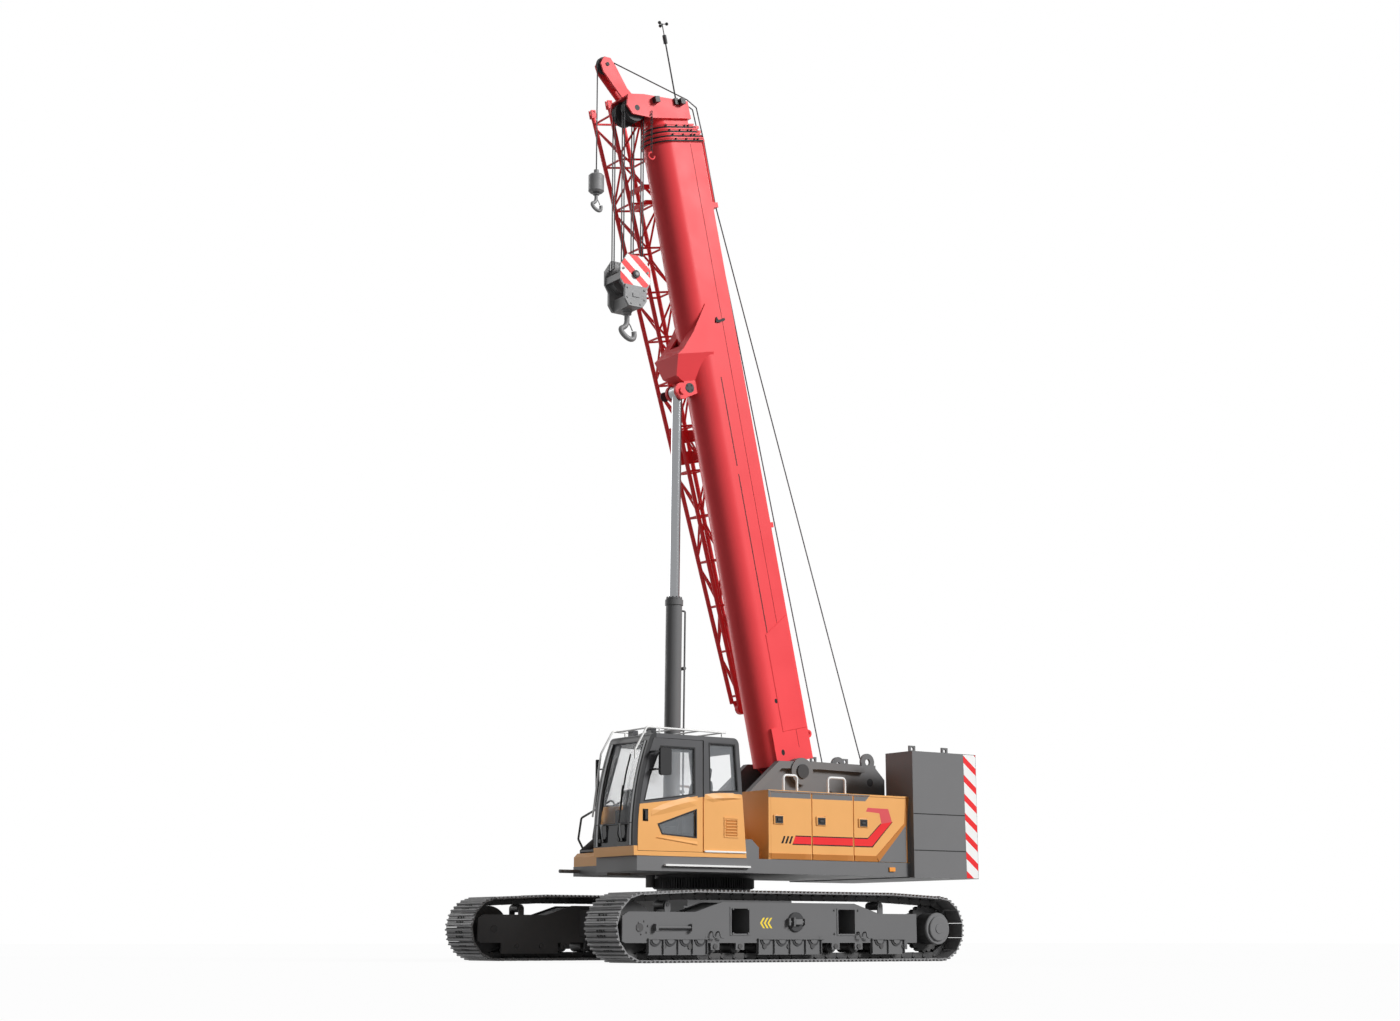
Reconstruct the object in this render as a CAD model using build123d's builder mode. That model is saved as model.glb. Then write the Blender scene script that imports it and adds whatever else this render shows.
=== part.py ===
"""Telescopic-boom crawler crane, full size, in millimetres.

Frame: +X forward, +Y to the crane's left, +Z up, origin on the ground under the slewing axis.
The boom stands at its raised working angle with all its sections drawn in.
"""
import os
from math import acos, cos, degrees, radians, sin

from build123d import *

os.makedirs("parts", exist_ok=True)

# Undercarriage
shoe_width = 760
track_gauge = 3770
track_half_length = 2985
track_end_radius = 452
track_top = 945
carrier_x = 1650
carrier_bend = 200
carrier_radius = 58
carrier_front_x = 2019
carrier_rear_x = -1627
sprocket_teeth = 21
grouser_height = 24
grousers = 189
shoe_plate = 14
link_height = 84
link_half_width = 105
wheel_x = track_half_length - track_end_radius
wheel_z = track_end_radius
wheel_radius = track_end_radius - grouser_height - shoe_plate - link_height - 0.4
track_y = track_gauge / 2
frame_half_width = 250
frame_plate = 30
roller_radius = 88
roller_z = grouser_height + shoe_plate + link_height + roller_radius + 0.4
roller_first_x = 2150
roller_step = 410
rollers = 11
beam_x = 915
beam_z = 542
beam_width = 340
beam_height = 374
beam_wall = 22
beam_inner_end = 560
socket_gap = 0.5
socket_wall = 24
socket_end = 1090
carbody_half = 900
carbody_bottom = 400
carbody_top = 880

# Slewing ring
ring_radius = 720
ring_bore = 560
ring_bottom = 1015
ring_top = 1165
ring_teeth = 96
race_gap = 0.4
deck_bottom = 1205

# Revolving frame
deck_top = 1405
deck_half_width = 1400
deck_rear = -2740
cab_deck_front = 2150
centre_front = 950
channel_half = 335
support_plate = 40
floor_plate = 50
deck_inner = 480
step_front = 1350
step_base = 1345

# Boom, in its own frame: s along it from the foot pin, n square to it towards its top
foot_x = -1472
foot_z = 2753
boom_angle = 77.6
boom_width = 600
boom_top = 384
boom_bottom = -461
boom_wall = 9
boom_shrink = 27
boom_start = 150
boom_end = 9808
section_step = 80
section_start = 800
pad_gap = 0.5
foot_pin_radius = 70
pin_gap = 0.3
hang_gap = 0.4
lift_s = 5916
lift_n = -703
lug_root = -424
sheave_s = 10282
sheave_n = -680
rooster_s = 11010
rooster_n = -975
sheave_radius = 185
rooster_radius = 135
sheave_width = 44
groove_depth = 25
rope_radius = 11
mast_end = 11310

# Lift cylinder
lift_foot_x = 580
lift_foot_z = 1500
barrel_radius = 120
barrel_length = 3737
rod_radius = 78
lift_eye_radius = 110
lift_pin_radius = 55
lift_eye_half = 70
barrel_start = 145
barrel_floor = 220
rod_length = 3300

# Cab
cab_right = 500
cab_left = 1500
cab_wall = 60
cab_floor_z = 1405
cab_roof_z = 3055
door_gap = 6
door_rear = 1066
door_thickness = cab_wall - door_gap
door_hinge_x = door_rear + door_thickness / 2
door_hinge_y = cab_left - door_thickness / 2
pane = 8

# Housings
house_front = -130
house_inner = 520
house_top = 2376
house_lip = 26
cover_thickness = 40
cover_gap = 6
engine_gap = 160
cover_seams = [-130, -915, -1684, -2740]
hinge_radius = 10
hinge_gap = 0.4

# Counterweight
weight_rear = -4040
weight_half = 1500
weight_seams = [1192, 1592, 2126, 3050]
pillar_inner = 889
weight_chamfer = 30

boom_dir = (cos(radians(boom_angle)), 0, sin(radians(boom_angle)))
boom_up = (-sin(radians(boom_angle)), 0, cos(radians(boom_angle)))


def boom_point(s, n, y=0):
    """Point of the boom's own frame in the crane's frame."""
    return (
        foot_x + s * boom_dir[0] + n * boom_up[0],
        y,
        foot_z + s * boom_dir[2] + n * boom_up[2],
    )


def boom_side(y=0):
    """Plane of the boom's side view at a given y: local x is s, local y is n."""
    return Plane(origin=(foot_x, y, foot_z), x_dir=boom_dir, z_dir=(0, -1, 0))


def boom_section_plane(s):
    """Plane square to the boom: local x is the crane's y, local y is n."""
    return Plane(origin=boom_point(s, 0), x_dir=(0, 1, 0), z_dir=boom_dir)


def save(piece, label):
    """Label a finished piece and write its STEP file."""
    piece.part.label = label
    export_step(piece.part, f"parts/{label}.step")


def plane_y(y):
    """Side-view plane at a given y: local x is the crane's x, local y is z, normal to the left."""
    return Plane(origin=(0, y, 0), x_dir=(-1, 0, 0), z_dir=(0, 1, 0))


def side_points(points):
    """Side-view (x, z) points in the local coordinates of plane_y."""
    return [(-x, z) for x, z in points]


def block(x0, x1, y0, y1, z0, z1, mode=Mode.ADD):
    """Box between two corners."""
    with Locations(((x0 + x1) / 2, (y0 + y1) / 2, (z0 + z1) / 2)):
        Box(abs(x1 - x0), abs(y1 - y0), abs(z1 - z0), mode=mode)


def shaft(x, z, y0, y1, radius, mode=Mode.ADD):
    """Round bar along y between two values of y."""
    with Locations(Location((x, (y0 + y1) / 2, z), (90, 0, 0))):
        Cylinder(radius, abs(y1 - y0), mode=mode)


def post(x, y, z0, z1, radius, mode=Mode.ADD):
    """Upright round bar between two heights."""
    with Locations((x, y, (z0 + z1) / 2)):
        Cylinder(radius, abs(z1 - z0), mode=mode)


def bar_x(x0, x1, y, z, radius):
    """Round bar along x between two values of x."""
    with Locations(Location(((x0 + x1) / 2, y, z), (0, 90, 0))):
        Cylinder(radius, abs(x1 - x0))


def plate(points, y0, y1, mode=Mode.ADD):
    """Plate of a side-view outline between two values of y."""
    with BuildSketch(plane_y(y0)) as outline:
        with BuildLine():
            Polyline(*side_points(points), close=True)
        make_face()
    extrude(outline.sketch, amount=y1 - y0, mode=mode)


def mirrored(source, label):
    """The right-hand twin of a left-hand piece."""
    with BuildPart() as twin:
        mirror(source.part, about=Plane.XZ)
    save(twin, label)


def tube(points, radius):
    """Bent round tube through a list of points."""
    with BuildLine() as path:
        FilletPolyline(*points, radius=3 * radius)
    with BuildSketch(Plane(origin=path.line @ 0, z_dir=path.line % 0)) as ring:
        Circle(radius)
    sweep(ring.sketch, path=path.line)


def strut(start, end, radius):
    """Straight round tube between two points."""
    axis = Vector(*end) - Vector(*start)
    with BuildSketch(Plane(origin=start, z_dir=axis)) as ring:
        Circle(radius)
    extrude(ring.sketch, amount=axis.length, clean=False)


# Undercarriage: centre frame with the sockets of the track beams
with BuildPart() as carbody:
    block(-beam_x, beam_x, -carbody_half, carbody_half, carbody_bottom, carbody_top)
    socket_w = beam_width + 2 * (socket_gap + socket_wall)
    socket_h = beam_height + 2 * (socket_gap + socket_wall)
    for x in (-beam_x, beam_x):
        block(
            x - socket_w / 2, x + socket_w / 2, -socket_end, socket_end,
            beam_z - socket_h / 2, beam_z + socket_h / 2,
        )
        block(
            x - beam_width / 2 - socket_gap, x + beam_width / 2 + socket_gap, -socket_end, socket_end,
            beam_z - beam_height / 2 - socket_gap, beam_z + beam_height / 2 + socket_gap, Mode.SUBTRACT,
        )
    post(0, 0, carbody_top, ring_bottom, ring_radius - 40)
save(carbody, "carbody")

with BuildPart() as slew_ring_gear:
    with BuildSketch(Plane.XY.offset(ring_bottom)):
        Circle(ring_radius - 22)
        with PolarLocations(ring_radius - 14, ring_teeth):
            Rectangle(28, 22)
        Circle(ring_bore, mode=Mode.SUBTRACT)
    extrude(amount=ring_top - ring_bottom)
save(slew_ring_gear, "slew_ring_gear")


def loop_face(inset):
    """Side view of the track loop, drawn in from the grouser tips by an inset."""
    with BuildSketch() as loop:
        with BuildLine():
            for side in (-1, 1):
                CenterArc((side * wheel_x, wheel_z), track_end_radius - inset, 0, 360)
                CenterArc((side * carrier_x, track_top - carrier_bend), carrier_bend - inset, 0, 360)
        make_hull()
    return loop.sketch


def grouser_outline():
    """Saw-toothed outline of the shoe loop: three bars to each shoe."""
    rim = loop_face(grouser_height).faces()[0].outer_wire()
    points = []
    for i in range(grousers):
        points.append(rim.position_at(i / grousers))
        for part in (0.36, 0.64):
            along = (i + part) / grousers
            outward = rim.tangent_at(along).rotate(Axis.Z, 90)
            points.append(rim.position_at(along) + outward * grouser_height)
    return points


track_plane = Plane(origin=(0, track_y, 0), x_dir=(1, 0, 0), z_dir=(0, -1, 0))
with BuildPart() as track_belt_left:
    with BuildSketch(track_plane):
        with BuildLine():
            Polyline(*[(p.X, p.Y) for p in grouser_outline()], close=True)
        make_face()
        add(loop_face(grouser_height + shoe_plate), mode=Mode.SUBTRACT)
    extrude(amount=shoe_width / 2, both=True)
    with BuildSketch(track_plane):
        add(loop_face(grouser_height + shoe_plate))
        add(loop_face(grouser_height + shoe_plate + link_height), mode=Mode.SUBTRACT)
    extrude(amount=link_half_width, both=True)
save(track_belt_left, "track_belt_left")
mirrored(track_belt_left, "track_belt_right")

def run_height(x):
    """Height of the chain's inner face above a point of the upper run."""
    inset = grouser_height + shoe_plate + link_height
    if abs(x) <= carrier_x:
        return track_top - inset
    run = Vector(wheel_x - carrier_x, wheel_z - track_top + carrier_bend)
    lean = degrees(acos((carrier_bend - track_end_radius) / run.length))
    normal = run.normalized().rotate(Axis.Z, lean)
    reach = normal.X * carrier_x + normal.Y * (track_top - carrier_bend) + carrier_bend - inset
    return (reach - normal.X * abs(x)) / normal.Y


roller_x = [roller_first_x - roller_step * i for i in range(rollers)]
carriers = [(x, run_height(x) - carrier_radius - 0.4) for x in (carrier_front_x, carrier_rear_x)]
frame_outer = track_y + frame_half_width
frame_inner = track_y - frame_half_width
plate_outline = [
    (2800, 280), (2800, 600), (2700, 655), (1650, 655), (1210, 790),
    (-1060, 790), (-1510, 655), (-2200, 655), (-2200, 255), (2760, 255),
]
core_outline = [
    (2080, 330), (2080, 630), (1650, 630), (1210, 765),
    (-1060, 765), (-1510, 630), (-2150, 630), (-2150, 330),
]
port_x = -19
port_z = 534
with BuildPart() as track_frame_left:
    plate(plate_outline, frame_outer - frame_plate, frame_outer)
    plate(plate_outline, frame_inner, frame_inner + frame_plate)
    plate(core_outline, frame_inner, frame_outer)
    for side in (frame_inner + 15, frame_outer - 15):
        for x in roller_x:
            block(x - 70, x + 70, side - 15, side + 15, roller_z - 45, 300)
        for x0, x1 in ((1456, 2409), (-466, 631), (-1963, -1357)):
            block(x0, x1, side - 15, side + 15, 100, 300)
    with BuildSketch(plane_y(frame_inner)):
        with Locations((wheel_x, wheel_z)):
            Circle(230)
        with Locations((wheel_x - 200, wheel_z)):
            Rectangle(400, 380)
    extrude(amount=frame_plate)
    for x in (-beam_x, beam_x):
        block(
            x - beam_width / 2, x + beam_width / 2, beam_inner_end, frame_outer + 8,
            beam_z - beam_height / 2, beam_z + beam_height / 2,
        )
        block(
            x - beam_width / 2 + beam_wall, x + beam_width / 2 - beam_wall, beam_inner_end, frame_outer + 8,
            beam_z - beam_height / 2 + beam_wall, beam_z + beam_height / 2 - beam_wall, Mode.SUBTRACT,
        )
    for x, z in carriers:
        for y in (track_y - 140, track_y + 120):
            block(x - 45, x + 45, y, y + 20, 600, z)
            shaft(x, z, y, y + 20, 45)
        shaft(x, z, track_y - 150, track_y + 150, 22 + pin_gap, Mode.SUBTRACT)
    for x in roller_x:
        shaft(x, roller_z, frame_inner, frame_outer, 34 + pin_gap, Mode.SUBTRACT)
    shaft(wheel_x, wheel_z, frame_inner, frame_outer, 55 + pin_gap, Mode.SUBTRACT)
    shaft(port_x, port_z, frame_outer, frame_outer + 25, 100)
    shaft(port_x, port_z, frame_outer - 20, frame_outer + 25, 78, Mode.SUBTRACT)
    shaft(port_x, port_z, frame_outer - 20, frame_outer + 45, 32)
    bar_x(port_x - 135, port_x + 135, frame_outer + 35, port_z, 14)
    for x in (port_x - 150, port_x + 120):
        block(x, x + 30, frame_outer, frame_outer + 60, port_z - 45, port_z + 45)
    for x in (2300, 1730):
        block(x - 20, x + 20, frame_outer, frame_outer + 70, 410, 500)
    bar_x(1730, 2300, frame_outer + 45, 455, 16)
    for x in (1400, 1290, -1110, -1230):
        tube(
            [(x, frame_outer - 5, 400), (x, frame_outer + 60, 400), (x, frame_outer + 60, 325),
             (x - 60, frame_outer + 60, 325)], 11,
        )
save(track_frame_left, "track_frame_left")
mirrored(track_frame_left, "track_frame_right")

with BuildPart() as track_wheels_left:
    for x in roller_x:
        shaft(x, roller_z, track_y - 150, track_y + 150, roller_radius)
        shaft(x, roller_z, frame_inner - 12, frame_outer + 12, 34)
    for x, z in carriers:
        shaft(x, z, track_y - 112, track_y + 112, carrier_radius)
        shaft(x, z, track_y - 148, track_y + 148, 22)
    shaft(wheel_x, wheel_z, track_y - 70, track_y + 70, wheel_radius)
    shaft(wheel_x, wheel_z, frame_inner - 8, frame_outer + 8, 55)
    with BuildSketch(plane_y(track_y - 45)):
        with Locations((wheel_x, wheel_z)):
            Circle(wheel_radius)
            with PolarLocations(wheel_radius, sprocket_teeth):
                Circle(24, mode=Mode.SUBTRACT)
    extrude(amount=90)
    shaft(-wheel_x, wheel_z, frame_inner + frame_plate, track_y, 205)
    shaft(-wheel_x, wheel_z, track_y, track_y + 325, 217)
    shaft(-wheel_x, wheel_z, track_y + 325, track_y + 345, 165)
    shaft(-wheel_x, wheel_z, track_y + 345, track_y + 360, 60)
save(track_wheels_left, "track_wheels_left")
mirrored(track_wheels_left, "track_wheels_right")

# Revolving frame
support_outline = [
    (centre_front, deck_bottom + floor_plate), (centre_front, 1430), (330, 1700), (-1061, 2892),
    (-1864, 2909), (-2959, 2886), (-3150, 2700), (-3150, weight_seams[2] + 14),
    (deck_rear, weight_seams[2] + 14), (deck_rear, deck_bottom + floor_plate),
]
flange_outline = [
    (330, 1700), (-1061, 2892), (-1864, 2909), (-2700, 2892), (-2700, 2790),
    (-1864, 2800), (-1104, 2784), (160, 1700),
]
drums = {"main_winch_drum": (-2080, 2430, 245), "aux_winch_drum": (-2860, 2650, 215)}
drum_shaft = 60
guide_x = -2820
guide_z = 2960
pinion_radius = 66
pinion_reach = ring_radius + pinion_radius + 9
step_bar_z = 1272
with BuildPart() as upper_frame:
    block(deck_rear, centre_front, -deck_inner, deck_inner, deck_bottom, deck_bottom + floor_plate)
    block(deck_rear, 250, deck_inner, deck_half_width, deck_bottom, deck_top)
    block(250, cab_deck_front, deck_inner, cab_left - 10, deck_bottom, deck_top)
    block(deck_rear, house_front, -deck_half_width, -deck_inner, deck_bottom, deck_top)
    block(house_front, step_front, -deck_half_width, -deck_inner, deck_bottom, step_base)
    plate(
        [(66, deck_bottom), (66, 1560), (190, 1669), (300, 1669), (300, deck_bottom)],
        deck_half_width - 20, deck_half_width + 30,
    )
    for side in (-1, 1):
        inner = side * channel_half
        outer = side * (channel_half + support_plate)
        plate(support_outline, inner, outer)
        plate(flange_outline, outer, outer + side * 75)
        block(deck_rear, centre_front, inner, side * deck_inner, deck_bottom, deck_top)
        with BuildSketch(plane_y(inner)):
            with Locations((-foot_x, foot_z)):
                Circle(200)
        extrude(amount=side * 140)
        shaft(guide_x, guide_z, inner, outer, 130)
        shaft(guide_x, guide_z, inner, outer, 48, Mode.SUBTRACT)
        block(lift_foot_x - 130, lift_foot_x + 130, side * 80, side * 130, deck_bottom + floor_plate, lift_foot_z)
        shaft(lift_foot_x, lift_foot_z, side * 80, side * 130, 130)
        for x, z, radius in drums.values():
            shaft(x, z, inner - side * 5, inner + side * 45, drum_shaft + 0.4, Mode.SUBTRACT)
        shaft(foot_x, foot_z, inner - side * 5, inner + side * 150, foot_pin_radius + pin_gap, Mode.SUBTRACT)
    shaft(lift_foot_x, lift_foot_z, -145, 145, lift_pin_radius)
    pinion_x = pinion_reach * cos(radians(20))
    pinion_y = -pinion_reach * sin(radians(20))
    post(pinion_x, pinion_y, ring_bottom + 20, deck_bottom, pinion_radius)
    bar_x(step_front, step_front + 330, -deck_half_width + 150, (deck_bottom + step_base) / 2, 26)
    hinge_y = deck_half_width - cover_thickness / 2
    for side in (-1, 1):
        for rear in cover_seams[1:]:
            x = rear + cover_gap / 2 + cover_thickness / 2
            x = x + 40 if rear == deck_rear else x
            post(x, side * hinge_y, deck_top - 30, deck_top + 5, hinge_radius + hinge_gap, Mode.SUBTRACT)
save(upper_frame, "upper_frame")

with BuildPart() as slew_race:
    with BuildSketch(Plane.XY.offset(ring_top + race_gap)):
        Circle(ring_radius - 30)
        Circle(ring_bore, mode=Mode.SUBTRACT)
    extrude(amount=deck_bottom - ring_top - race_gap)
save(slew_race, "slew_race")

with BuildPart() as boom_foot_pin:
    shaft(foot_x, foot_z, -480, 480, foot_pin_radius)
    for side in (-1, 1):
        shaft(foot_x, foot_z, side * 475, side * 500, 105)
save(boom_foot_pin, "boom_foot_pin")

for name, (x, z, radius) in drums.items():
    with BuildPart() as drum:
        shaft(x, z, -310, 310, radius - 70)
        for side in (-1, 1):
            shaft(x, z, side * 290, side * 315, radius)
        shaft(x, z, -channel_half - 38, channel_half + 38, drum_shaft)
    save(drum, name)

# Housings beside the boom, each open towards its covers
with BuildPart() as left_housing:
    block(deck_rear, house_front, house_inner, deck_half_width, deck_top, house_top)
    block(
        deck_rear + 40, house_front - 40, house_inner + 40, deck_half_width, deck_top, house_top - house_lip,
        Mode.SUBTRACT,
    )
    for rear in cover_seams[1:]:
        x = rear + cover_gap / 2 + cover_thickness / 2
        x = x + 40 if rear == deck_rear else x
        post(
            x, deck_half_width - cover_thickness / 2, house_top - house_lip, house_top,
            hinge_radius + hinge_gap, Mode.SUBTRACT,
        )
save(left_housing, "left_housing")
mirrored(left_housing, "right_housing")

for i in range(3):
    front = cover_seams[i] - cover_gap / 2
    rear = cover_seams[i + 1] + cover_gap / 2
    front = front - 40 if i == 0 else front
    rear = rear + 40 if i == 2 else rear
    with BuildPart() as cover:
        block(
            rear, front, deck_half_width - cover_thickness, deck_half_width,
            deck_top + cover_gap, house_top - house_lip - cover_gap,
        )
        hinge_edges = cover.edges().filter_by(Axis.Z).group_by(Axis.X)[0]
        fillet(hinge_edges, cover_thickness / 2 - 0.1)
        post(
            rear + cover_thickness / 2, deck_half_width - cover_thickness / 2,
            deck_top - 25, house_top - 6, hinge_radius,
        )
    save(cover, f"left_cover_{i + 1}")
    mirrored(cover, f"right_cover_{i + 1}")

with BuildPart() as engine_block:
    block(-1900, -500, -deck_half_width + cover_thickness + engine_gap, -house_inner - 120, deck_top, 2150)
save(engine_block, "engine_block")

# Counterweight in three layers
layer_names = ["counterweight_base", "counterweight_middle"]
for name, z0, z1 in zip(layer_names, weight_seams, weight_seams[1:]):
    with BuildPart() as layer:
        block(weight_rear, deck_rear, -weight_half, weight_half, z0, z1)
        chamfer(layer.edges().filter_by(Axis.Z).group_by(Axis.X)[0], weight_chamfer)
    save(layer, name)
with BuildPart() as counterweight_top:
    for side in (-1, 1):
        with BuildPart(mode=Mode.PRIVATE) as pillar:
            block(
                weight_rear, deck_rear, side * pillar_inner, side * weight_half, weight_seams[2], weight_seams[3]
            )
            outer = pillar.edges().filter_by(Axis.Z).group_by(Axis.X)[0].sort_by(Axis.Y)
            chamfer(outer[-1] if side > 0 else outer[0], weight_chamfer)
        add(pillar.part)
        for x in (-3650, -3000):
            block(x - 60, x + 60, side * 1180, side * 1210, weight_seams[3], weight_seams[3] + 110)
            shaft(x, weight_seams[3] + 60, side * 1170, side * 1220, 28, Mode.SUBTRACT)
save(counterweight_top, "counterweight_top")

# Cab
cab_back = [(2205, cab_floor_z), (334, cab_floor_z), (465, cab_roof_z), (1935, cab_roof_z)]
cab_bow = (2142, 2350)


def cab_face(inset):
    """Side view of the cab, drawn in by an inset."""
    with BuildSketch() as outline:
        with BuildLine():
            Polyline(*cab_back)
            ThreePointArc(cab_back[-1], cab_bow, cab_back[0])
        make_face()
        fillet(outline.vertices().group_by(Axis.Y)[-1], 95)
        if inset:
            offset(amount=-inset, mode=Mode.REPLACE)
    return outline.sketch


def cab_plane(y):
    """Side-view plane of the cab at a given y, its normal to the right."""
    return Plane(origin=(0, y, 0), x_dir=(1, 0, 0), z_dir=(0, -1, 0))


def cab_ring(y0, y1, outer, inner):
    """Ring of the cab's outline between two insets and two values of y."""
    with BuildSketch(cab_plane(y1)) as ring:
        add(cab_face(outer))
        add(cab_face(inner), mode=Mode.SUBTRACT)
    extrude(ring.sketch, amount=y1 - y0)


with BuildPart() as cab_floor:
    cab_ring(cab_right, cab_left, 0, cab_wall)
    block(0, 3000, cab_right, cab_left, cab_floor_z, cab_floor_z + cab_wall, Mode.INTERSECT)
    post(
        door_hinge_x, door_hinge_y, cab_floor_z + 35, cab_floor_z + cab_wall + 5, hinge_radius + hinge_gap,
        Mode.SUBTRACT,
    )
save(cab_floor, "cab_floor")

with BuildPart() as cab_roof:
    cab_ring(cab_right, cab_left, 0, cab_wall)
    block(560, 1850, cab_right, cab_left, 2900, 3200, Mode.INTERSECT)
    block(1150, 1700, cab_right + 200, cab_left - 200, 2900, 3200, Mode.SUBTRACT)
    post(door_hinge_x, door_hinge_y, 2900, 3020, hinge_radius + hinge_gap, Mode.SUBTRACT)
save(cab_roof, "cab_roof")

with BuildPart() as cab_rear_wall:
    cab_ring(cab_right, cab_left, 0, cab_wall)
    block(0, 560, cab_right, cab_left, cab_floor_z + cab_wall, 3200, Mode.INTERSECT)
    block(0, 560, cab_right + 150, cab_left - 150, 2200, 2850, Mode.SUBTRACT)
save(cab_rear_wall, "cab_rear_wall")

with BuildPart() as cab_front_frame:
    cab_ring(cab_right, cab_left, 0, cab_wall)
    block(1850, 2400, cab_right, cab_left, cab_floor_z + cab_wall, 3200, Mode.INTERSECT)
    block(1850, 2400, cab_right + 60, cab_left - 60, 1540, 2960, Mode.SUBTRACT)
save(cab_front_frame, "cab_front_frame")

with BuildPart() as cab_windscreen:
    cab_ring(cab_right + 60, cab_left - 60, 24, 24 + pane)
    block(1850, 2400, cab_right + 60, cab_left - 60, 1540, 2960, Mode.INTERSECT)
save(cab_windscreen, "cab_windscreen")

right_window = [(520, 2250), (600, 2940), (1800, 2940), (2060, 2100), (1240, 2150)]
rear_window = [(476, 2320), (530, 2965), (972, 2965), (955, 2290)]
door_window = [(1208, 2250), (1212, 2885), (1780, 2885), (1960, 2470), (2050, 2130)]
low_window = [(1183, 1660), (1183, 2045), (1820, 1830), (1754, 1696)]
wall_inner = cab_left - cab_wall
with BuildPart() as cab_right_wall:
    with BuildSketch(cab_plane(cab_right + cab_wall)):
        add(cab_face(cab_wall))
    extrude(amount=cab_wall)
    plate(right_window, cab_right, cab_right + cab_wall, Mode.SUBTRACT)
save(cab_right_wall, "cab_right_wall")

with BuildPart() as cab_left_panel:
    with BuildSketch(cab_plane(cab_left)):
        add(cab_face(cab_wall))
    extrude(amount=cab_wall)
    block(0, door_rear - door_gap, wall_inner, cab_left, cab_floor_z, 3100, Mode.INTERSECT)
    plate(rear_window, wall_inner, cab_left, Mode.SUBTRACT)
save(cab_left_panel, "cab_left_panel")

with BuildPart() as cab_door:
    with BuildSketch(cab_plane(cab_left)):
        add(cab_face(cab_wall + door_gap))
    extrude(amount=door_thickness)
    block(door_rear, 2400, wall_inner, cab_left, cab_floor_z, 3100, Mode.INTERSECT)
    fillet(cab_door.edges().filter_by(Axis.Z).group_by(Axis.X)[0], door_thickness / 2 - 1)
    plate(door_window, wall_inner, cab_left, Mode.SUBTRACT)
    plate(low_window, wall_inner, cab_left, Mode.SUBTRACT)
    post(door_hinge_x, door_hinge_y, cab_floor_z + 40, 3015, hinge_radius)
save(cab_door, "cab_door")

with BuildPart() as cab_panes:
    plate(right_window, cab_right + 24, cab_right + 24 + pane)
    plate(rear_window, cab_left - 24 - pane, cab_left - 24)
    block(1150, 1700, cab_right + 200, cab_left - 200, 3010, 3010 + pane)
save(cab_panes, "cab_panes")

with BuildPart() as cab_door_panes:
    plate(door_window, cab_left - 24 - pane, cab_left - 24)
    plate(low_window, cab_left - 24 - pane, cab_left - 24)
save(cab_door_panes, "cab_door_panes")

with BuildPart() as door_mirror:
    block(1708, 1890, cab_left + 110, cab_left + 160, 2477, 2848)
    fillet(door_mirror.edges().filter_by(Axis.Y), 40)
    for z in (2540, 2780):
        block(1890, 1960, cab_left + 120, cab_left + 145, z, z + 25)
        block(1935, 1960, cab_left, cab_left + 145, z, z + 25)
save(door_mirror, "door_mirror")

with BuildPart() as cab_seat:
    block(800, 1250, 780, 1220, cab_floor_z + cab_wall, 1700)
    block(760, 1280, 740, 1260, 1700, 1840)
    plate([(720, 1760), (880, 1760), (760, 2520), (640, 2520)], 770, 1230)
save(cab_seat, "cab_seat")

with BuildPart() as cab_console:
    block(1750, 1950, 640, 1000, cab_floor_z + cab_wall, 2050)
save(cab_console, "cab_console")

# Right front: tool box, access steps and their rail
step_outer = -deck_half_width + 10
step_inner = step_outer + 450
with BuildPart() as tool_box:
    block(200, step_front, step_outer, -deck_inner - 40, step_base, 1540)
    chamfer(tool_box.edges().filter_by(Axis.Y).group_by(Axis.X)[-1].sort_by(Axis.Z)[-1], 60)
save(tool_box, "tool_box")

treads = [(1150, 1560), (800, 1830), (450, 2100)]
with BuildPart() as access_steps:
    for x, z in treads:
        block(x - 190, x + 100, step_outer, step_inner, z, z + 30)
        for i in range(5):
            block(x - 170 + 52 * i, x - 140 + 52 * i, step_outer + 40, step_inner - 40, z, z + 30, Mode.SUBTRACT)
    for y in (step_outer, step_inner - 10):
        plate(
            [(1250, 1540), (1250, 1590), (550, 2130), (house_front, 2130), (house_front, 2060), (450, 2060),
             (1050, 1540)], y, y + 10,
        )
    for y in (step_outer + 20, step_inner - 20):
        tube([(1180, y, 1570), (1290, y, 1750), (1240, y, 2060), (700, y, 2350), (560, y, 2110)], 16)
save(access_steps, "access_steps")


# Boom
def boom_profile(step):
    """Cross-section of one boom section: flat top and sides, round bottom."""
    half = boom_width / 2 - boom_shrink * step
    top = boom_top - boom_shrink * step
    centre = boom_bottom + boom_width / 2
    return half, top, centre


def boom_outline(step, grow=0):
    """Face of a boom section's cross-section, grown outwards by an amount."""
    half, top, centre = boom_profile(step)
    half = half + grow
    top = top + grow
    with BuildSketch() as outline:
        with BuildLine():
            Polyline((-half, centre), (-half, top), (half, top), (half, centre))
            ThreePointArc((half, centre), (0, centre - half), (-half, centre))
        make_face()
    return outline.sketch


def boom_tube(step, s0, s1, grow=0, wall=boom_wall):
    """Length of boom tube of one section's outline."""
    with BuildSketch(boom_section_plane(s0)) as ring:
        add(boom_outline(step, grow))
        add(boom_outline(step, grow - wall), mode=Mode.SUBTRACT)
    extrude(ring.sketch, amount=s1 - s0)


def boom_plate(points, y0, y1, mode=Mode.ADD):
    """Plate of a boom side-view outline between two values of y."""
    with BuildSketch(boom_side(y1)) as outline:
        with BuildLine():
            Polyline(*points, close=True)
        make_face()
    extrude(outline.sketch, amount=y1 - y0, mode=mode)


def boom_bar(s, n, y0, y1, radius, mode=Mode.ADD):
    """Round bar along y through a point of the boom's frame."""
    x, _, z = boom_point(s, n)
    shaft(x, z, y0, y1, radius, mode)


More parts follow.
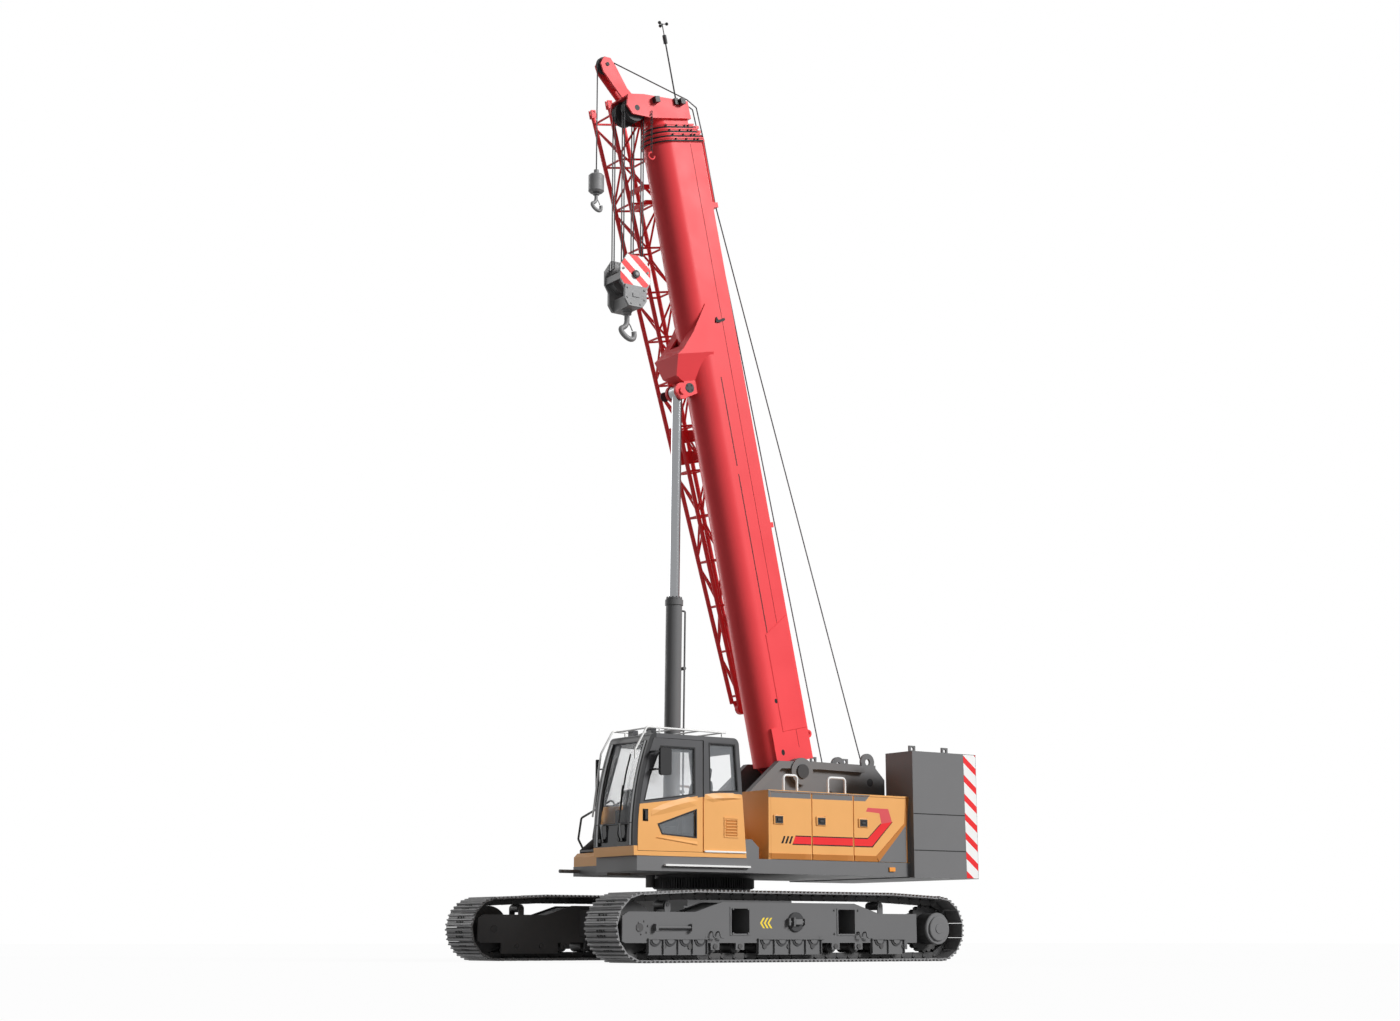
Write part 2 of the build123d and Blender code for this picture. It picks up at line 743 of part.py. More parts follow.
def boom_collar(step, end):
    """Collar at the end of a section, its pads close to the next section in, with stop lugs on its top."""
    grow = 22
    wall = grow + boom_shrink - pad_gap
    boom_tube(step, end - 70, end, grow, wall)
    half, top, centre = boom_profile(step)
    for y in (-half + 40, half - 160):
        boom_plate(
            [(end - 55, top), (end - 15, top), (end - 15, boom_top + 95), (end - 55, boom_top + 95)], y, y + 120
        )


def axial_bar(s0, s1, n, y, radius):
    """Round bar along the boom between two values of s."""
    with BuildSketch(boom_section_plane(s0)) as ring:
        with Locations((y, n)):
            Circle(radius)
    extrude(ring.sketch, amount=s1 - s0)


half_base = boom_width / 2
cheek_half = half_base + 18
cheek_skin = 25
lug_inner = 90
lug_outer = 140
bracket_foot = 6060
bracket_knee = 6450
bracket_front = -790
bracket_outline = [
    (bracket_foot, -120), (bracket_foot, -660), (bracket_foot + 90, bracket_front), (bracket_knee, bracket_front),
    (6522, -679), (6769, -437), (7195, -120),
]
bracket_hollow = [(bracket_knee + cheek_skin, -120), (bracket_knee + cheek_skin, -700), (6500, -660), (6745, -420),
                  (7130, -120)]
with BuildPart() as boom_base:
    with BuildPart(mode=Mode.PRIVATE) as lift_bracket:
        boom_plate(bracket_outline, -cheek_half, cheek_half)
        boom_plate(bracket_hollow, -cheek_half + cheek_skin, cheek_half - cheek_skin, Mode.SUBTRACT)
        boom_plate([(6600, -120), (6600, -900), (7200, -900), (7200, -120)], -130, 130, Mode.SUBTRACT)
        for side in (-1, 1):
            with BuildSketch(Plane(origin=boom_point(0, bracket_front - 5), x_dir=boom_dir, z_dir=boom_up)) as cut:
                with BuildLine():
                    Polyline(
                        (bracket_foot - 5, side * lug_outer), (bracket_knee, side * (cheek_half + 1)),
                        (bracket_foot - 5, side * (cheek_half + 1)), close=True,
                    )
                make_face()
            extrude(cut.sketch, amount=-bracket_front, mode=Mode.SUBTRACT)
        with BuildSketch(boom_section_plane(bracket_foot - 100)) as bore:
            add(boom_outline(0, -boom_wall / 2))
        extrude(bore.sketch, amount=1400, mode=Mode.SUBTRACT)
    boom_tube(0, boom_start, boom_end)
    boom_collar(0, boom_end)
    add(lift_bracket.part)
    for side in (-1, 1):
        y0, y1 = sorted((side * (half_base - 50), side * half_base))
        boom_plate([(0, 150), (500, 384), (700, 384), (700, -300), (200, -300), (0, -150)], y0, y1)
        boom_bar(0, 0, y0, y1, 150)
        boom_bar(0, 0, y0, y1, foot_pin_radius + pin_gap, Mode.SUBTRACT)
        y0, y1 = sorted((side * lug_inner, side * lug_outer))
        boom_plate([(5860, lug_root), (bracket_foot + 40, lug_root), (bracket_foot + 40, -640), (6020, -646),
                    (5960, lift_n - 110), (5795, lift_n)], y0, y1)
        boom_bar(lift_s, lift_n, y0, y1, 125)
        boom_bar(lift_s, lift_n, side * lug_outer, side * (lug_outer + 25), lift_pin_radius)
    boom_plate([(420, boom_top - 5), (590, boom_top - 5), (560, 600), (450, 600)], -25, 25)
    boom_bar(506, 600, -25, 25, 62)
    boom_bar(506, 600, -25, 25, 34, Mode.SUBTRACT)
    boom_plate([(3690, boom_top - 5), (3770, boom_top - 5), (3770, 480), (3690, 480)], 180, 240)
    for y in (150, 250):
        axial_bar(8740, boom_end - 40, 445, y, 15)
    boom_plate([(8700, boom_top - 5), (8780, boom_top - 5), (8780, 490), (8700, 490)], 110, 290)
save(boom_base, "boom_base")

for step in range(1, 5):
    end = boom_end + section_step * step
    with BuildPart() as section:
        boom_tube(step, section_start + section_step * step, end)
        if step < 4:
            boom_collar(step, end)
    save(section, f"boom_section_{step + 1}")

head_start = boom_end + 4 * section_step
head_web = sheave_s + sheave_radius + 11
head_inner = 215
head_outer = 245
arm_inner = 60
arm_outer = 90
head_outline = [
    (head_start, 300), (10400, 300), (head_web + 22, -520), (head_web + 22, -800), (10330, -860),
    (head_start + 60, -780), (head_start, -430),
]
arm_outline = [
    (head_web, -560), (10640, -690), (10990, -830), (11110, -900), (11130, -1010), (11030, -1090),
    (10900, -1070), (10600, -880), (head_web, -800),
]


def sheave(s, n, y, radius):
    """Rope sheave: a disc with a raised rim at each side of its groove."""
    rim = 12
    boom_bar(s, n, y - sheave_width / 2, y + sheave_width / 2, radius - groove_depth)
    boom_bar(s, n, y - sheave_width / 2, y - sheave_width / 2 + rim, radius)
    boom_bar(s, n, y + sheave_width / 2 - rim, y + sheave_width / 2, radius)


with BuildPart() as boom_head:
    with BuildSketch(boom_section_plane(head_start)):
        add(boom_outline(4, 40))
    extrude(amount=60)
    for side in (-1, 1):
        y0, y1 = sorted((side * head_inner, side * head_outer))
        boom_plate(head_outline, y0, y1)
        boom_bar(sheave_s, sheave_n, y0, y1, 45 + pin_gap, Mode.SUBTRACT)
        y0, y1 = sorted((side * arm_inner, side * arm_outer))
        boom_plate(arm_outline, y0, y1)
        boom_bar(rooster_s, rooster_n, y0, y1, 30 + pin_gap, Mode.SUBTRACT)
    boom_plate([(head_web, -520), (head_web + 22, -520), (head_web + 22, -800), (head_web, -800)],
               -head_inner, head_inner)
    boom_plate([(10378, 300), (10400, 300), (head_web + 22, -520), (head_web, -520)], -head_inner, head_inner)
    boom_plate([(10660, -760), (10720, -782), (10720, -900), (10660, -880)], -arm_inner, arm_inner)
save(boom_head, "boom_head")

with BuildPart() as head_fittings:
    mast_y = head_outer + 20
    axial_bar(10400, mast_end, 60, mast_y, 12)
    axial_bar(mast_end, mast_end + 130, 60, mast_y, 32)
    axial_bar(mast_end + 130, mast_end + 320, 60, mast_y, 8)
    boom_plate([(10340, 30), (10440, 30), (10440, 90), (10340, 90)], head_outer, head_outer + 40)
    for turn in range(3):
        lean = radians(120 * turn + 20)
        start = boom_point(mast_end + 310, 60, mast_y)
        reach = Vector(70 * cos(lean), 70 * sin(lean), 0)
        cup = Vector(*start) + reach
        strut(start, (cup.X, cup.Y, cup.Z), 6)
        with Locations(cup):
            Sphere(26)
    for s, n, y in ((10400, -330, head_outer), (10380, 150, head_outer), (10380, 150, -head_outer - 90)):
        boom_plate([(s - 45, n - 40), (s + 45, n - 40), (s + 45, n + 40), (s - 45, n + 40)], y, y + 90)
save(head_fittings, "head_fittings")

with BuildPart() as head_sheaves:
    boom_bar(sheave_s, sheave_n, -head_outer, head_outer, 45)
    for y in (-160, -100, 100, 160):
        sheave(sheave_s, sheave_n, y, sheave_radius)
save(head_sheaves, "head_sheaves")

with BuildPart() as jib_sheave:
    boom_bar(rooster_s, rooster_n, -arm_outer - 12, arm_outer + 12, 30)
    sheave(rooster_s, rooster_n, 0, rooster_radius)
save(jib_sheave, "jib_sheave")

# Hooks, hanging plumb under their sheaves
sheave_x, _, sheave_z = boom_point(sheave_s, sheave_n)
rooster_x, _, rooster_z = boom_point(rooster_s, rooster_n)
block_top = 10310
block_axle = block_top - 300
block_foot = block_top - 800
block_outline = [
    (sheave_x - 150, block_top), (sheave_x + 150, block_top), (sheave_x + 270, block_top - 190),
    (sheave_x + 270, block_top - 400), (sheave_x + 170, block_top - 560), (sheave_x - 170, block_top - 560),
    (sheave_x - 270, block_top - 400), (sheave_x - 270, block_top - 190),
]
yoke_outline = [
    (sheave_x - 190, block_top - 480), (sheave_x + 190, block_top - 480), (sheave_x + 190, block_top - 700),
    (sheave_x + 120, block_foot), (sheave_x - 120, block_foot), (sheave_x - 190, block_top - 700),
]
with BuildPart() as hook_block:
    for side in (-1, 1):
        y0, y1 = sorted((side * 195, side * 225))
        plate(block_outline, y0, y1)
        y0, y1 = sorted((side * 195, side * 245))
        plate(yoke_outline, y0, y1)
        for x in (sheave_x - 215, sheave_x + 215):
            shaft(x, block_top - 240, side * 190, side * 240, 18)
    for x in (sheave_x - 255, sheave_x + 235):
        block(x, x + 20, -195, 195, block_top - 400, block_top - 300)
    for y in (-160, -100, 100, 160):
        shaft(sheave_x, block_axle, y - 22, y + 22, 200)
        shaft(sheave_x, block_axle, y - 22, y - 10, 222)
        shaft(sheave_x, block_axle, y + 10, y + 22, 222)
    shaft(sheave_x, block_axle, -250, 250, 45)
    block(sheave_x - 110, sheave_x + 110, -195, 195, block_foot, block_foot + 180)
    post(sheave_x, 0, block_foot - 30, block_foot, 80)
save(hook_block, "hook_block")


def hook(x, top, scale):
    """Shank and J-shaped hook below a given height."""
    with BuildLine() as path:
        Polyline((x, 0, top), (x, 0, top - 120 * scale))
        Spline(
            (x, 0, top - 120 * scale), (x + 95 * scale, 0, top - 260 * scale), (x, 0, top - 370 * scale),
            (x - 120 * scale, 0, top - 270 * scale), tangents=[(0, 0, -1), (0.2, 0, 1)],
        )
    with BuildSketch(Plane(origin=path.line @ 0, z_dir=(0, 0, -1))) as ring:
        Circle(38 * scale)
    sweep(ring.sketch, path=path.line)


with BuildPart() as main_hook:
    hook(sheave_x, block_foot - 30 - hang_gap, 1.05)
save(main_hook, "main_hook")

aux_top = 11600
aux_height = 360
aux_x = rooster_x + rooster_radius - groove_depth + rope_radius
with BuildPart() as aux_weight:
    post(aux_x, 0, aux_top - aux_height, aux_top - 70, 118)
    chamfer(aux_weight.edges().filter_by(GeomType.CIRCLE), 26)
    post(aux_x, 0, aux_top - 90, aux_top, 38)
save(aux_weight, "aux_weight")

with BuildPart() as aux_hook:
    hook(aux_x, aux_top - aux_height - hang_gap, 0.7)
save(aux_hook, "aux_hook")

# Stowed lattice jib on the boom's right side
jib_near = -430
jib_far = -900
jib_tip = 1150
jib_fork = 10500
jib_mid = (jib_near + jib_far) / 2
jib_bays = 13
chord_radius = 34
lace_radius = 17


def jib_middle(t):
    """Middle of the jib in n and its half depth there: t runs from the low tip to the forked foot."""
    return -60 - t * 365, 90 + t * 185


def jib_chord(t, y_side, n_side):
    """Point of a jib chord."""
    s = jib_tip + t * (jib_fork - jib_tip)
    half_y = 90 + t * ((jib_near - jib_far) / 2 - 90)
    middle, half_n = jib_middle(t)
    return boom_point(s, middle + n_side * half_n, jib_mid + y_side * half_y)


corners = [(-1, -1), (-1, 1), (1, 1), (1, -1)]
faces = list(zip(corners, corners[1:] + corners[:1]))
with BuildPart() as lattice_jib:
    for y_side, n_side in corners:
        strut(jib_chord(0, y_side, n_side), jib_chord(1, y_side, n_side), chord_radius)
        x, y, z = jib_chord(1, y_side, n_side)
        for fork_y in (y - 40, y + 18):
            middle, half_n = jib_middle(1)
            n = middle + n_side * half_n
            boom_plate(
                [(jib_fork - 20, n - 42), (jib_fork + 110, n - 42), (jib_fork + 110, n + 42), (jib_fork - 20, n + 42)],
                fork_y, fork_y + 22,
            )
            boom_bar(jib_fork + 75, n, fork_y, fork_y + 22, 20, Mode.SUBTRACT)
    for bay in range(jib_bays + 1):
        for (ya, na), (yb, nb) in faces:
            t = 0.012 + 0.976 * bay / jib_bays
            strut(jib_chord(t, ya, na), jib_chord(t, yb, nb), lace_radius)
    for bay in range(jib_bays):
        for turn, ((ya, na), (yb, nb)) in enumerate(faces):
            t0 = 0.02 + 0.976 * bay / jib_bays
            t1 = 0.004 + 0.976 * (bay + 1) / jib_bays
            start, end = ((ya, na), (yb, nb)) if (bay + turn) % 2 else ((yb, nb), (ya, na))
            strut(jib_chord(t0, *start), jib_chord(t1, *end), lace_radius)
    for s in (5000, 5330):
        t = (s - jib_tip) / (jib_fork - jib_tip)
        middle, half_n = jib_middle(t)
        boom_plate(
            [(s - 110, middle - half_n - 70), (s + 110, middle - half_n - 90), (s + 90, middle + half_n + 60),
             (s - 90, middle + half_n + 60)], jib_mid - 15, jib_mid + 15,
        )
        boom_plate([(s - 60, -150), (s + 60, -150), (s + 60, -50), (s - 60, -50)], jib_mid, -half_base)
    for s in (9000, 9250):
        boom_plate([(s - 35, -330), (s + 35, -330), (s + 35, -260), (s - 35, -260)], jib_far + 20, jib_near)
        boom_plate([(s - 35, -140), (s + 35, -140), (s + 35, -70), (s - 35, -70)], jib_near - 30, -half_base)
        boom_plate([(s - 35, -330), (s + 35, -330), (s + 35, -70), (s - 35, -70)], jib_near - 30, jib_near)
    for y in (jib_mid - 62, jib_mid + 40):
        boom_plate([(jib_tip - 150, -120), (jib_tip + 40, -160), (jib_tip + 40, 40), (jib_tip - 150, 0)], y, y + 22)
    boom_bar(jib_tip - 90, -60, jib_mid - 40, jib_mid + 40, 95)
save(lattice_jib, "lattice_jib")

# Lift cylinder, its rod's eye between the lugs of the boom
lift_x, _, lift_z = boom_point(lift_s, lift_n)
lift_axis = Vector(lift_x - lift_foot_x, 0, lift_z - lift_foot_z)
lift_length = lift_axis.length
lift_plane = Plane(origin=(lift_foot_x, 0, lift_foot_z), x_dir=(0, 1, 0), z_dir=lift_axis)
with BuildPart() as lift_barrel:
    with BuildSketch(lift_plane.offset(barrel_start)):
        Circle(barrel_radius)
    extrude(amount=barrel_length - barrel_start)
    with BuildSketch(lift_plane):
        Rectangle(2 * lift_eye_half, 200)
    extrude(amount=barrel_start)
    with BuildSketch(lift_plane.offset(barrel_length - 110)):
        Circle(barrel_radius + 14)
    extrude(amount=80)
    shaft(lift_foot_x, lift_foot_z, -lift_eye_half, lift_eye_half, 120)
    with BuildSketch(lift_plane.offset(barrel_floor)):
        Circle(rod_radius + pin_gap)
    extrude(amount=barrel_length, mode=Mode.SUBTRACT)
    shaft(lift_foot_x, lift_foot_z, -lift_eye_half - 60, lift_eye_half + 60, lift_pin_radius + pin_gap, Mode.SUBTRACT)
save(lift_barrel, "lift_barrel")

with BuildPart() as lift_rod:
    with BuildSketch(lift_plane.offset(lift_length - rod_length)):
        Circle(rod_radius)
    extrude(amount=rod_length)
    shaft(lift_x, lift_z, -lift_eye_half, lift_eye_half, lift_eye_radius)
    shaft(lift_x, lift_z, -lift_eye_half - 5, lift_eye_half + 5, lift_pin_radius + pin_gap, Mode.SUBTRACT)
save(lift_rod, "lift_rod")

# White rails: grips on the housings, the step bar below the cab
with BuildPart() as grab_rails:
    for side in (-1, 1):
        for x0, x1 in ((-454, -698), (-1265, -1582)):
            y = side * (deck_half_width - 70)
            tube([(x0, y, house_top), (x0, y, 2600), (x1, y, 2600), (x1, y, house_top)], 17)
    block(292, 1719, cab_left - 10, cab_left + 45, step_bar_z, step_bar_z + 25)
save(grab_rails, "grab_rails")

# Tube guard over the cab's roof and windscreen
guard_y = [cab_right + 70, cab_left - 75]
guard_top = 3140
with BuildPart() as cab_guard:
    for y, low_x, low_z in ((guard_y[0], 2275, 1950), (guard_y[1], 2150, 2700)):
        tube([(640, y, guard_top - 10), (1960, y, guard_top), (2150, y, 2820), (low_x, y, low_z)], 14)
        for x in (700, 1750):
            post(x, y, cab_roof_z, guard_top, 12)
    for x in (640, 1060, 1480, 1900):
        strut((x, guard_y[0], guard_top - 5), (x, guard_y[1], guard_top - 5), 11)
save(cab_guard, "cab_guard")

# Work lamps on the cab's roof, marker lamps on the deck's sides
with BuildPart() as lamps:
    for side in (-1, 1):
        block(-2440, -2330, side * deck_half_width, side * (deck_half_width + 22), 1275, 1335)
    for y in (cab_right + 250, cab_left - 300):
        block(1740, 1820, y, y + 130, cab_roof_z, cab_roof_z + 86)
save(lamps, "lamps")
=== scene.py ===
"""Looks of the telescopic-boom crawler crane, laid out as an add-on and run as a script."""

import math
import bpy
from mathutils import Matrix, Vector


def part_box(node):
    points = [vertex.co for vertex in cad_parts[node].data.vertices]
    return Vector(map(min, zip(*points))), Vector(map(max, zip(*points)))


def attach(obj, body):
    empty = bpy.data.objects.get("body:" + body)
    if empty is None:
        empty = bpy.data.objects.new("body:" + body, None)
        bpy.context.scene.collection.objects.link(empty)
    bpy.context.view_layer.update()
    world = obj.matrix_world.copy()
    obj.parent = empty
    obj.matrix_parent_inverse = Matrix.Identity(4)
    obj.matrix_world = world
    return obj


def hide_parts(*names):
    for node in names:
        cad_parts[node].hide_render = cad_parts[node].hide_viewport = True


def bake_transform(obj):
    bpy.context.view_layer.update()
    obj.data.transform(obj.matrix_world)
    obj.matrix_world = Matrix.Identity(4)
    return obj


bl_info = {
    "name": "Crawler crane dressing",
    "version": (1, 0, 0),
    "blender": (4, 5, 0),
    "location": "View3D > Sidebar > Crane",
    "description": "Paints the packed crawler crane and adds its ropes, tracks, marks and fittings",
    "category": "Object",
}

import bmesh
import bpy
from bpy.props import FloatProperty, FloatVectorProperty, IntProperty, PointerProperty
from bpy.types import Operator, Panel, PropertyGroup
from mathutils import Vector

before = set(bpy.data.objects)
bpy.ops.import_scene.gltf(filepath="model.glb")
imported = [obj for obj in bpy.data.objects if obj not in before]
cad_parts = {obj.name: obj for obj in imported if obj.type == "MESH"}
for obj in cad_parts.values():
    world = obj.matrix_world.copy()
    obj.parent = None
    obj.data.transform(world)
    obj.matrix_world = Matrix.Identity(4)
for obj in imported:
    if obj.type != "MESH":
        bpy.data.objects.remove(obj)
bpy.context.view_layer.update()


class CranePaint(PropertyGroup):
    """Colours of the painted surfaces."""

    boom: FloatVectorProperty(
        name="Boom red", description="Paint of the boom and jib", subtype="COLOR", size=3,
        default=(0.86, 0.072, 0.082),
    )
    body: FloatVectorProperty(
        name="Body orange", description="Paint of the covers and the lower cab", subtype="COLOR", size=3,
        default=(0.80, 0.40, 0.135),
    )
    # Painted shade: a darker copy of the body orange, for the covers' downward-facing lip and the shade
    # between the cab's vent slats
    shade: FloatVectorProperty(
        name="Painted shade orange", description="Deeper orange of the covers' bevelled lip", subtype="COLOR", size=3,
        default=(0.50, 0.19, 0.045),
    )
    grey: FloatVectorProperty(
        name="Works grey", description="Paint of the deck, counterweight and track frames",
        subtype="COLOR", size=3,
        default=(0.165, 0.165, 0.168),
    )
    cab: FloatVectorProperty(
        name="Cab grey", description="Paint of the upper cab",
        subtype="COLOR", size=3, default=(0.092, 0.092, 0.096)
    )


class BoomSettings(PropertyGroup):
    """Where the boom stands at rest."""

    foot: FloatVectorProperty(
        name="Foot pin", description="Middle of the boom's foot pin", subtype="TRANSLATION", size=3,
        default=(-1.472, 0.0, 2.753),
    )
    angle: FloatProperty(
        name="Boom angle", description="Lean of the boom from level",
        subtype="ANGLE", default=math.radians(77.6)
    )
    half_width: FloatProperty(
        name="Half width", description="Half the boom's width", unit="LENGTH", default=0.300
    )
    top: FloatProperty(name="Top", description="Boom's top above its axis", unit="LENGTH", default=0.384)
    bottom: FloatProperty(
        name="Bottom", description="Boom's bottom below its axis", unit="LENGTH", default=-0.461
    )
    shrink: FloatProperty(
        name="Shrink", description="Each section inside the last", unit="LENGTH", default=0.027
    )
    end: FloatProperty(
        name="End", description="Outer section's end along the boom", unit="LENGTH", default=9.808
    )
    step: FloatProperty(
        name="Step", description="Each section's end beyond the last", unit="LENGTH", default=0.080
    )
    collar: FloatProperty(name="Collar", description="Length of a collar", unit="LENGTH", default=0.070)
    collar_rise: FloatProperty(
        name="Collar rise", description="Collar over its tube", unit="LENGTH", default=0.022
    )


class TrackSettings(PropertyGroup):
    """Shape of the shoe loops."""

    gauge: FloatProperty(name="Gauge", description="Between the track middles", unit="LENGTH", default=3.770)
    wheel_x: FloatProperty(
        name="Wheel place", description="End wheels from the middle", unit="LENGTH", default=2.533
    )
    wheel_radius: FloatProperty(
        name="End radius", description="Loop's end over the bars", unit="LENGTH", default=0.452
    )
    bend_x: FloatProperty(
        name="Bend place", description="Where the top run bends", unit="LENGTH", default=1.650
    )
    bend_radius: FloatProperty(
        name="Bend radius", description="Bend of the top run", unit="LENGTH", default=0.200
    )
    top: FloatProperty(name="Top", description="Height of the top run", unit="LENGTH", default=0.945)
    shoes: IntProperty(name="Shoes", description="Shoes of one loop", default=63)
    shoe_width: FloatProperty(name="Shoe width", description="Width of a shoe", unit="LENGTH", default=0.760)
    bar_height: FloatProperty(
        name="Bar height", description="Height of a grip bar", unit="LENGTH", default=0.024
    )
    plate: FloatProperty(name="Shoe plate", description="Thickness of a shoe", unit="LENGTH", default=0.014)
    link_height: FloatProperty(
        name="Link height", description="Depth of a chain link", unit="LENGTH", default=0.084
    )
    frame_half_width: FloatProperty(
        name="Frame half width", description="From the track's middle to its frame's outer plate",
        unit="LENGTH",
        default=0.250,
    )


class RopeSettings(PropertyGroup):
    """Hoist ropes."""

    radius: FloatProperty(
        name="Rope radius", description="Half a rope's thickness", unit="LENGTH", default=0.010
    )
    run: FloatProperty(
        name="Run radius", description="Rope's middle on the head sheaves", unit="LENGTH", default=0.171
    )
    turns: IntProperty(name="Turns", description="Turns of rope on a winch drum", default=24)


class StageSettings(PropertyGroup):
    """Camera, floor and light."""

    camera_place: FloatVectorProperty(
        name="Camera place", description="Where the camera stands", subtype="TRANSLATION", size=3,
        default=(17.7411, 24.9371, 0.2858),
    )
    camera_yaw: FloatProperty(
        name="Camera yaw", description="Turn of the view about the vertical", subtype="ANGLE",
        default=math.radians(35.336),
    )
    camera_pitch: FloatProperty(
        name="Camera pitch", description="Upward tilt of the view",
        subtype="ANGLE", default=math.radians(11.697)
    )
    lens: FloatProperty(name="Lens", description="Focal length on a 36 mm sensor", default=53.42)
    key: FloatProperty(name="Key", description="Strength of the key light", default=3.5)
    rim: FloatProperty(name="Rim", description="Strength of the light from the other side", default=1.1)
    fill: FloatProperty(name="Fill", description="Strength of the light from all round", default=0.16)
    bounce: FloatProperty(
        name="Bounce", description="Floor's brightness to everything but the camera", default=0.30
    )


SINK = 0.001  # how deep a piece laid on a face reaches into it
SKIN = 0.0015  # how far a painted mark stands proud of its face
LIFT_EYE = (5.916, -0.703)  # lift cylinder's upper pin, along the boom and above its axis


def material(name):
    """A new node material with its shader."""
    made = bpy.data.materials.new("finish_" + name)
    made.use_nodes = True
    return made, made.node_tree, made.node_tree.nodes["Principled BSDF"]


def finished(name):
    """A finish made before, by its name."""
    return bpy.data.materials["finish_" + name]


def calculate(tree, operation, first, second, third=0.0):
    """Math node on sockets or numbers."""
    made = tree.nodes.new("ShaderNodeMath")
    made.operation = operation
    for socket, value in zip(made.inputs, (first, second, third)):
        if isinstance(value, (int, float)):
            socket.default_value = value
        else:
            tree.links.new(value, socket)
    return made.outputs["Value"]


def coordinates(tree, kind="Object"):
    """Socket with a piece's own coordinates."""
    return tree.nodes.new("ShaderNodeTexCoord").outputs[kind]


def above(tree, lines):
    """1 above the lowest of some lines of the side view, each a height at x = 0 and a slope."""
    place = tree.nodes.new("ShaderNodeSeparateXYZ")
    tree.links.new(coordinates(tree), place.inputs["Vector"])
    lowest = None
    for height, slope in lines:
        line = calculate(tree, "MULTIPLY_ADD", place.outputs["X"], slope, height)
        lowest = line if lowest is None else calculate(tree, "MINIMUM", lowest, line)
    return calculate(tree, "GREATER_THAN", place.outputs["Z"], lowest)


def mixed(tree, factor, first, second):
    """Colour mix of two sockets or colours."""
    made = tree.nodes.new("ShaderNodeMix")
    made.data_type = "RGBA"
    tree.links.new(factor, made.inputs["Factor"])
    for socket, value in (("A", first), ("B", second)):
        if isinstance(value, bpy.types.NodeSocket):
            tree.links.new(value, made.inputs[socket])
        else:
            made.inputs[socket].default_value = (*value, 1)
    return made.outputs["Result"]


def cloud(tree, scale, detail=5.0):
    """Noise on object coordinates."""
    made = tree.nodes.new("ShaderNodeTexNoise")
    made.inputs["Scale"].default_value = scale
    made.inputs["Detail"].default_value = detail
    tree.links.new(coordinates(tree), made.inputs["Vector"])
    return made.outputs["Fac"]


def waves(tree, direction, scale):
    """Bands on object coordinates."""
    made = tree.nodes.new("ShaderNodeTexWave")
    made.bands_direction = direction
    made.inputs["Scale"].default_value = scale
    tree.links.new(coordinates(tree), made.inputs["Vector"])
    return made


def ranged(tree, value, low, high):
    """A noise value spread over a range."""
    made = tree.nodes.new("ShaderNodeMapRange")
    made.inputs["From Min"].default_value = 0.3
    made.inputs["From Max"].default_value = 0.7
    made.inputs["To Min"].default_value = low
    made.inputs["To Max"].default_value = high
    tree.links.new(value, made.inputs["Value"])
    return made.outputs["Result"]


def rough_up(tree, shader, height, strength, distance):
    """Bump from a height socket."""
    made = tree.nodes.new("ShaderNodeBump")
    made.inputs["Strength"].default_value = strength
    made.inputs["Distance"].default_value = distance
    tree.links.new(height, made.inputs["Height"])
    tree.links.new(made.outputs["Normal"], shader.inputs["Normal"])


def spread(colour, share):
    """A colour a share darker and a share lighter."""
    return [c * (1 - share) for c in colour], [min(1, c * (1 + share)) for c in colour]


def paint(name, colour, roughness=0.40, gloss=0.20, mottle=0.05, second=None, lines=None):
    """Sprayed paint: faint mottling, uneven gloss, fine orange peel; a second colour above some lines."""
    made, tree, shader = material(name)
    patches = cloud(tree, 2.2)
    tone = mixed(tree, patches, *spread(colour, mottle))
    if second:
        upper = mixed(tree, patches, *spread(second, mottle))
        tone = mixed(tree, above(tree, lines), tone, upper)
    tree.links.new(tone, shader.inputs["Base Color"])
    tree.links.new(ranged(tree, patches, roughness * 0.85, roughness * 1.15), shader.inputs["Roughness"])
    rough_up(tree, shader, cloud(tree, 180.0, 2.0), 0.02, 0.002)
    shader.inputs["Specular IOR Level"].default_value = gloss
    return made


def worn_iron(name, colour, dust):
    """Dark cast or rolled iron, dusty in patches."""
    made, tree, shader = material(name)
    patches = cloud(tree, 5.0, 8.0)
    grain = cloud(tree, 90.0, 3.0)
    tone = mixed(tree, patches, *spread(colour, 0.18))
    tone = mixed(tree, ranged(tree, patches, 0.0, 0.35), tone, dust)
    tree.links.new(tone, shader.inputs["Base Color"])
    tree.links.new(ranged(tree, grain, 0.42, 0.68), shader.inputs["Roughness"])
    shader.inputs["Metallic"].default_value = 0.15
    shader.inputs["Specular IOR Level"].default_value = 0.25
    rough_up(tree, shader, grain, 0.12, 0.003)
    return made


def plated(name, colour, roughness):
    """Bright metal with fine rings of wear along its height."""
    made, tree, shader = material(name)
    rings = waves(tree, "Z", 30.0)
    rings.inputs["Distortion"].default_value = 4.0
    rings.inputs["Detail"].default_value = 4.0
    wear = rings.outputs["Fac"]
    tree.links.new(mixed(tree, wear, *spread(colour, 0.04)), shader.inputs["Base Color"])
    tree.links.new(ranged(tree, wear, roughness * 0.8, roughness * 1.3), shader.inputs["Roughness"])
    shader.inputs["Metallic"].default_value = 1.0
    return made


